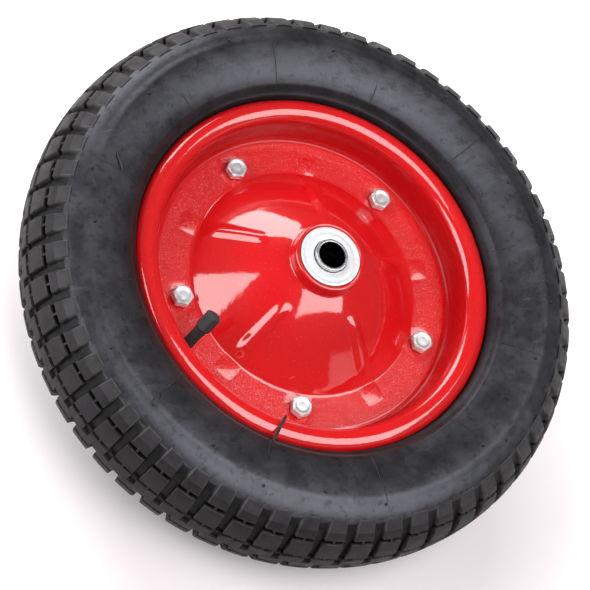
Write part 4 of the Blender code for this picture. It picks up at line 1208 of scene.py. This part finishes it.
def spring_washer(sizes):
    """Split spring washer: a rounded square section carried round nearly a full turn while
    it climbs by the seventh of its seat that the section leaves free."""
    gap = 0.16
    t = np.linspace(gap, 2 * math.pi - gap, 56)[:, None]
    inner, outer, thick = sizes.shank + 0.00045, sizes.washer, sizes.washer_thick * 0.86
    box = rounded([(inner, 0), (outer, 0), (outer, -thick), (inner, -thick)], 0.0003, 3)
    climb = (thick - sizes.washer_thick) * (t - gap) / (2 * math.pi - 2 * gap)
    return capped(polar(box[:, 0], t, box[:, 1] + climb))


# Hub


def build_hub(context):
    """Makes the faces of both bearings: pressed shields and turned inner sleeves."""
    hub, rim = context.scene.wheel_hub, context.scene.wheel_rim
    materials = finishes(context)
    face, back, ring = hub.disc_face, hub.disc_face - hub.disc_thick, hub.ring
    shield = rounded(
        [
            (hub.disc_inner, back),
            (hub.disc_outer, back),
            (hub.disc_outer, face),
            (ring + 0.0014, face - 0.00002),
            (ring + 0.0006, face - 0.00028),
            (ring - 0.0006, face - 0.00028),
            (ring - 0.0014, face - 0.00002),
            (hub.disc_inner, face),
        ],
        (0.0001, 0.0002, 0.00035, 0.0008, 0.0006, 0.0006, 0.0008, 0.0003),
        4,
    )
    start, end = rim.shoulder_height + 0.0003, hub.sleeve_end
    ball, groove = start + 0.0055, 0.0031
    sleeve = rounded(
        [
            (hub.bore, start),
            (hub.land, start),
            (hub.land, ball - groove),
            (hub.race, ball),
            (hub.land, ball + groove),
            (hub.land, hub.land_end),
            (hub.sleeve, hub.land_end),
            (hub.sleeve, end),
            (hub.bore, end),
        ],
        (0.0004, 0.0002, 0.0002, 0.0015, 0.0002, 0.0002, 0.0002, 0.0005, 0.0006),
        4,
    )
    for side, tag in SIDES:
        turn_profile(
            f"{tag}_disc", shield, materials["zinc_plating"], side=side,
            nodes=(f"{tag}_shield",), slot="zinc_plate",
        )
        turn_profile(
            f"{tag}_sleeve", sleeve, materials["ground_steel"], side=side, body="hub_core",
            nodes=(f"{tag}_inner_ring",), slot="zinc_plate",
        )
    for name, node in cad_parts.items():
        for part, finish in KEPT_FINISHES.items():
            if part in name:
                node.data.materials.clear()
                node.data.materials.append(materials[finish])


# Valve


def build_valve(context):
    """Makes the rubber stem and its six-sided, round-ended cap."""
    valve = context.scene.wheel_valve
    materials = finishes(context)
    place = valve_place(valve)
    base, end, soft = valve.reach - valve.cap_length, valve.reach, valve.cap_end
    tip, seat, foot = base - 0.0003, 0.0037, -0.0082
    hole, pin_hole = valve.core + 0.0003, 0.0009
    stem = rounded(
        [
            (valve.foot, foot),
            (valve.foot, -0.0018),
            (valve.stem_root, -0.0006),
            (valve.stem_root, 0.0025),
            (valve.stem_root - 0.0002, 0.0032),
            (valve.stem_tip + 0.0001, tip - 0.0022),
            (valve.stem_tip + 0.0005, tip - 0.0017),
            (valve.stem_tip + 0.0005, tip - 0.0004),
            (valve.stem_tip + 0.0001, tip),
            (hole, tip),
            (hole, seat),
            (pin_hole, seat),
            (pin_hole, foot),
        ],
        0.0003,
        3,
    )
    turn_profile(
        "rubber_stem", stem, materials["stem_rubber"], steps=64, place=place,
        nodes=("valve_stem",), slot="stem_rubber",
    )
    angles = round_angles(120)
    flat, disc = hex_radius(angles, valve.cap_across, 0.00020), 0.5 * valve.cap_across
    rows = [(hole, end - 0.00125), (hole, base), (disc * 0.88, base)]
    rows += [(np.minimum(flat, disc * 1.02), base + 0.0006), (flat, base + 0.0012)]
    rows.append((flat, end - soft))
    for t in np.linspace(0.12, 1, 9) * math.pi / 2:
        lean = math.sin(t)
        shape = np.minimum(flat, flat * (1 - lean) + disc * lean)
        rows.append((shape - soft * (1 - math.cos(t)), end - soft + soft * lean))
    rows.append((disc * 0.30, end + 0.00002))
    points, quads = capped(stack_rings(rows, angles))
    make_piece(
        "cap_shell", put(points, place), quads, materials["cap_plastic"], body="cap",
        nodes=("valve_cap",), slot="cap_plastic", sharp=12,
    )


# Stage


def soft_box(name, place, spread, radiance, roll=0.0, distance=1.25):
    """Rectangular lamp aimed at the wheel. Its place is given in degrees right and up from
    the camera as the wheel sees it, and its spread in degrees wide and high."""
    off, at = math.radians(math.hypot(*place)), math.atan2(place[1], place[0])
    sideways = math.cos(at) * IMAGE_RIGHT + math.sin(at) * IMAGE_UP
    toward = math.sin(off) * sideways + math.cos(off) * IMAGE_BACK
    side = IMAGE_UP.cross(toward)
    if side.length < 0.5:
        side = IMAGE_RIGHT
    side = (side - side.dot(toward) * toward).normalized()
    basis = Matrix((side, toward.cross(side), toward)).transposed().to_4x4()
    lamp = bpy.data.lights.new(name, "AREA")
    lamp.shape = "RECTANGLE"
    lamp.size, lamp.size_y = (2 * distance * math.tan(math.radians(s) / 2) for s in spread)
    lamp.energy = radiance * math.pi * lamp.size * lamp.size_y
    made = bpy.data.objects.new(name, lamp)
    bpy.context.collection.objects.link(made)
    spin = Matrix.Rotation(math.radians(roll), 4, "Z")
    made.matrix_world = Matrix.Translation(toward * distance) @ basis @ spin


def floor_finish():
    """Pale floor that keeps the shadow, tinted pink as a painted colour cast in that shadow; away
    from the wheel it is lifted to white where the camera, gloss or glass sees it."""
    # Painted colour cast: the pink tint makes the floor's shadow look pinkish.
    f = Finish("floor_white", (0.72, 0.66, 0.68), 0.9)
    f.set("Specular IOR Level", 0.0)
    path = f.node("ShaderNodeLightPath").outputs
    seen = f.math("MAXIMUM", path["Is Camera Ray"], path["Is Glossy Ray"])
    seen = f.math("MAXIMUM", seen, path["Is Transmission Ray"])
    reach = f.node("ShaderNodeVectorMath", operation="DISTANCE")
    f.feed(reach.inputs[0], f.place)
    f.feed(reach.inputs[1], IMAGE_UP * -0.14)
    far = f.spread(reach.outputs["Value"], 0.12, 0.36, 0.16, 1.0, kind="LINEAR")
    f.set("Emission Color", (1, 1, 1, 1))
    f.set("Emission Strength", f.times(seen, far))
    return f.material


def build_stage(context):
    """Sets the floor, the lamps, the white surroundings and the camera."""
    scene = context.scene
    studio, hub = scene.wheel_studio, scene.wheel_hub
    tilt, turn = studio.floor_tilt, studio.floor_turn
    out = Vector((math.cos(turn), math.sin(turn), 0))
    normal = (Vector((0, 0, 1)) * math.cos(tilt) - out * math.sin(tilt)).normalized()
    touch = out * hub.sleeve + Vector((0, 0, -hub.sleeve_end - 0.0003))
    basis = normal.to_track_quat("Z", "Y").to_matrix().to_4x4()
    half = 6.0
    corners = np.array([(-half, -half, 0), (half, -half, 0), (half, half, 0), (-half, half, 0)])
    mesh = bpy.data.meshes.new("floor")
    mesh.from_pydata(put(corners, Matrix.Translation(touch) @ basis).tolist(), [], [(0, 1, 2, 3)])
    mesh.materials.append(floor_finish())
    floor = bpy.data.objects.new("floor", mesh)
    bpy.context.collection.objects.link(floor)

    level = studio.lamps
    soft_box("top_box", (-18, 84), (36, 25), 1.1 * level, roll=-12)
    soft_box("left_box", (-54, 18), (56, 40), 0.85 * level, roll=-4)
    soft_box("front_box", (38, 9), (52, 44), 0.80 * level, distance=2.2)
    soft_box("low_box", (72, -40), (44, 15), 0.12 * level, roll=24)

    world = bpy.data.worlds.new("studio_fill")
    scene.world = world
    world.use_nodes = True
    tree = world.node_tree
    background = tree.nodes["Background"]
    background.inputs["Color"].default_value = (1.0, 0.985, 0.985, 1)
    path = tree.nodes.new("ShaderNodeLightPath")
    shown = tree.nodes.new("ShaderNodeMath")
    shown.operation = "MAXIMUM"
    shown.inputs[1].default_value = studio.world
    tree.links.new(path.outputs["Is Camera Ray"], shown.inputs[0])
    tree.links.new(shown.outputs[0], background.inputs["Strength"])

    camera = bpy.data.cameras.new("photo_camera")
    camera.lens = studio.lens
    camera.sensor_width = 36
    camera.clip_start = 0.05
    made = bpy.data.objects.new("photo_camera", camera)
    bpy.context.collection.objects.link(made)
    basis = Matrix((IMAGE_RIGHT, IMAGE_UP, IMAGE_BACK)).transposed().to_4x4()
    made.matrix_world = Matrix.Translation(CAMERA_PLACE) @ basis
    scene.camera = made
    scene.view_settings.view_transform = "Standard"


# Operators and panel


class WHEEL_OT_tyre(bpy.types.Operator):
    """Build the tread and the casing of the tyre"""

    bl_idname = "wheel.tyre"
    bl_label = "Tyre"

    def execute(self, context):
        build_tyre(context)
        return {"FINISHED"}


class WHEEL_OT_mould_marks(bpy.types.Operator):
    """Build the flash lines, vent nubs and whiskers of the sidewalls"""

    bl_idname = "wheel.mould_marks"
    bl_label = "Mould marks"

    def execute(self, context):
        build_mould_marks(context)
        return {"FINISHED"}


class WHEEL_OT_rim(bpy.types.Operator):
    """Build both pressed rim halves"""

    bl_idname = "wheel.rim"
    bl_label = "Rim halves"

    def execute(self, context):
        build_rim(context)
        return {"FINISHED"}


class WHEEL_OT_fasteners(bpy.types.Operator):
    """Build the bolts, spring washers and nuts"""

    bl_idname = "wheel.fasteners"
    bl_label = "Fasteners"

    def execute(self, context):
        build_fasteners(context)
        return {"FINISHED"}


class WHEEL_OT_hub(bpy.types.Operator):
    """Build the hub's shields and sleeves and finish the bearings"""

    bl_idname = "wheel.hub"
    bl_label = "Hub"

    def execute(self, context):
        build_hub(context)
        return {"FINISHED"}


class WHEEL_OT_valve(bpy.types.Operator):
    """Build the valve's stem and cap"""

    bl_idname = "wheel.valve"
    bl_label = "Valve"

    def execute(self, context):
        build_valve(context)
        return {"FINISHED"}


class WHEEL_OT_stage(bpy.types.Operator):
    """Set the floor, the lamps and the camera"""

    bl_idname = "wheel.stage"
    bl_label = "Stage"

    def execute(self, context):
        build_stage(context)
        return {"FINISHED"}


OPERATORS = (
    WHEEL_OT_tyre,
    WHEEL_OT_mould_marks,
    WHEEL_OT_rim,
    WHEEL_OT_fasteners,
    WHEEL_OT_hub,
    WHEEL_OT_valve,
    WHEEL_OT_stage,
)


class WHEEL_PT_panel(bpy.types.Panel):
    """Lists the wheel's builders and their sizes"""

    bl_idname = "WHEEL_PT_panel"
    bl_label = "Barrow wheel"
    bl_space_type = "VIEW_3D"
    bl_region_type = "UI"
    bl_category = "Wheel"

    def draw(self, context):
        layout = self.layout
        for operator in OPERATORS:
            layout.operator(operator.bl_idname, text=operator.bl_label)
        for name, group in GROUPS.items():
            box = layout.box()
            box.label(text=name.replace("wheel_", "").capitalize())
            for key in group.__annotations__:
                box.prop(getattr(context.scene, name), key)


def register():
    """Adds the groups of sizes, the operators and the panel."""
    for name, group in GROUPS.items():
        bpy.utils.register_class(group)
        setattr(bpy.types.Scene, name, PointerProperty(type=group))
    for operator in OPERATORS:
        bpy.utils.register_class(operator)
    bpy.utils.register_class(WHEEL_PT_panel)


def unregister():
    """Takes them away again, last one first."""
    bpy.utils.unregister_class(WHEEL_PT_panel)
    for operator in reversed(OPERATORS):
        bpy.utils.unregister_class(operator)
    for name, group in reversed(GROUPS.items()):
        delattr(bpy.types.Scene, name)
        bpy.utils.unregister_class(group)


def main():
    """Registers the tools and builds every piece."""
    register()
    bpy.ops.wheel.tyre()
    bpy.ops.wheel.mould_marks()
    bpy.ops.wheel.rim()
    bpy.ops.wheel.fasteners()
    bpy.ops.wheel.hub()
    bpy.ops.wheel.valve()
    bpy.ops.wheel.stage()


if __name__ == "__main__":
    main()
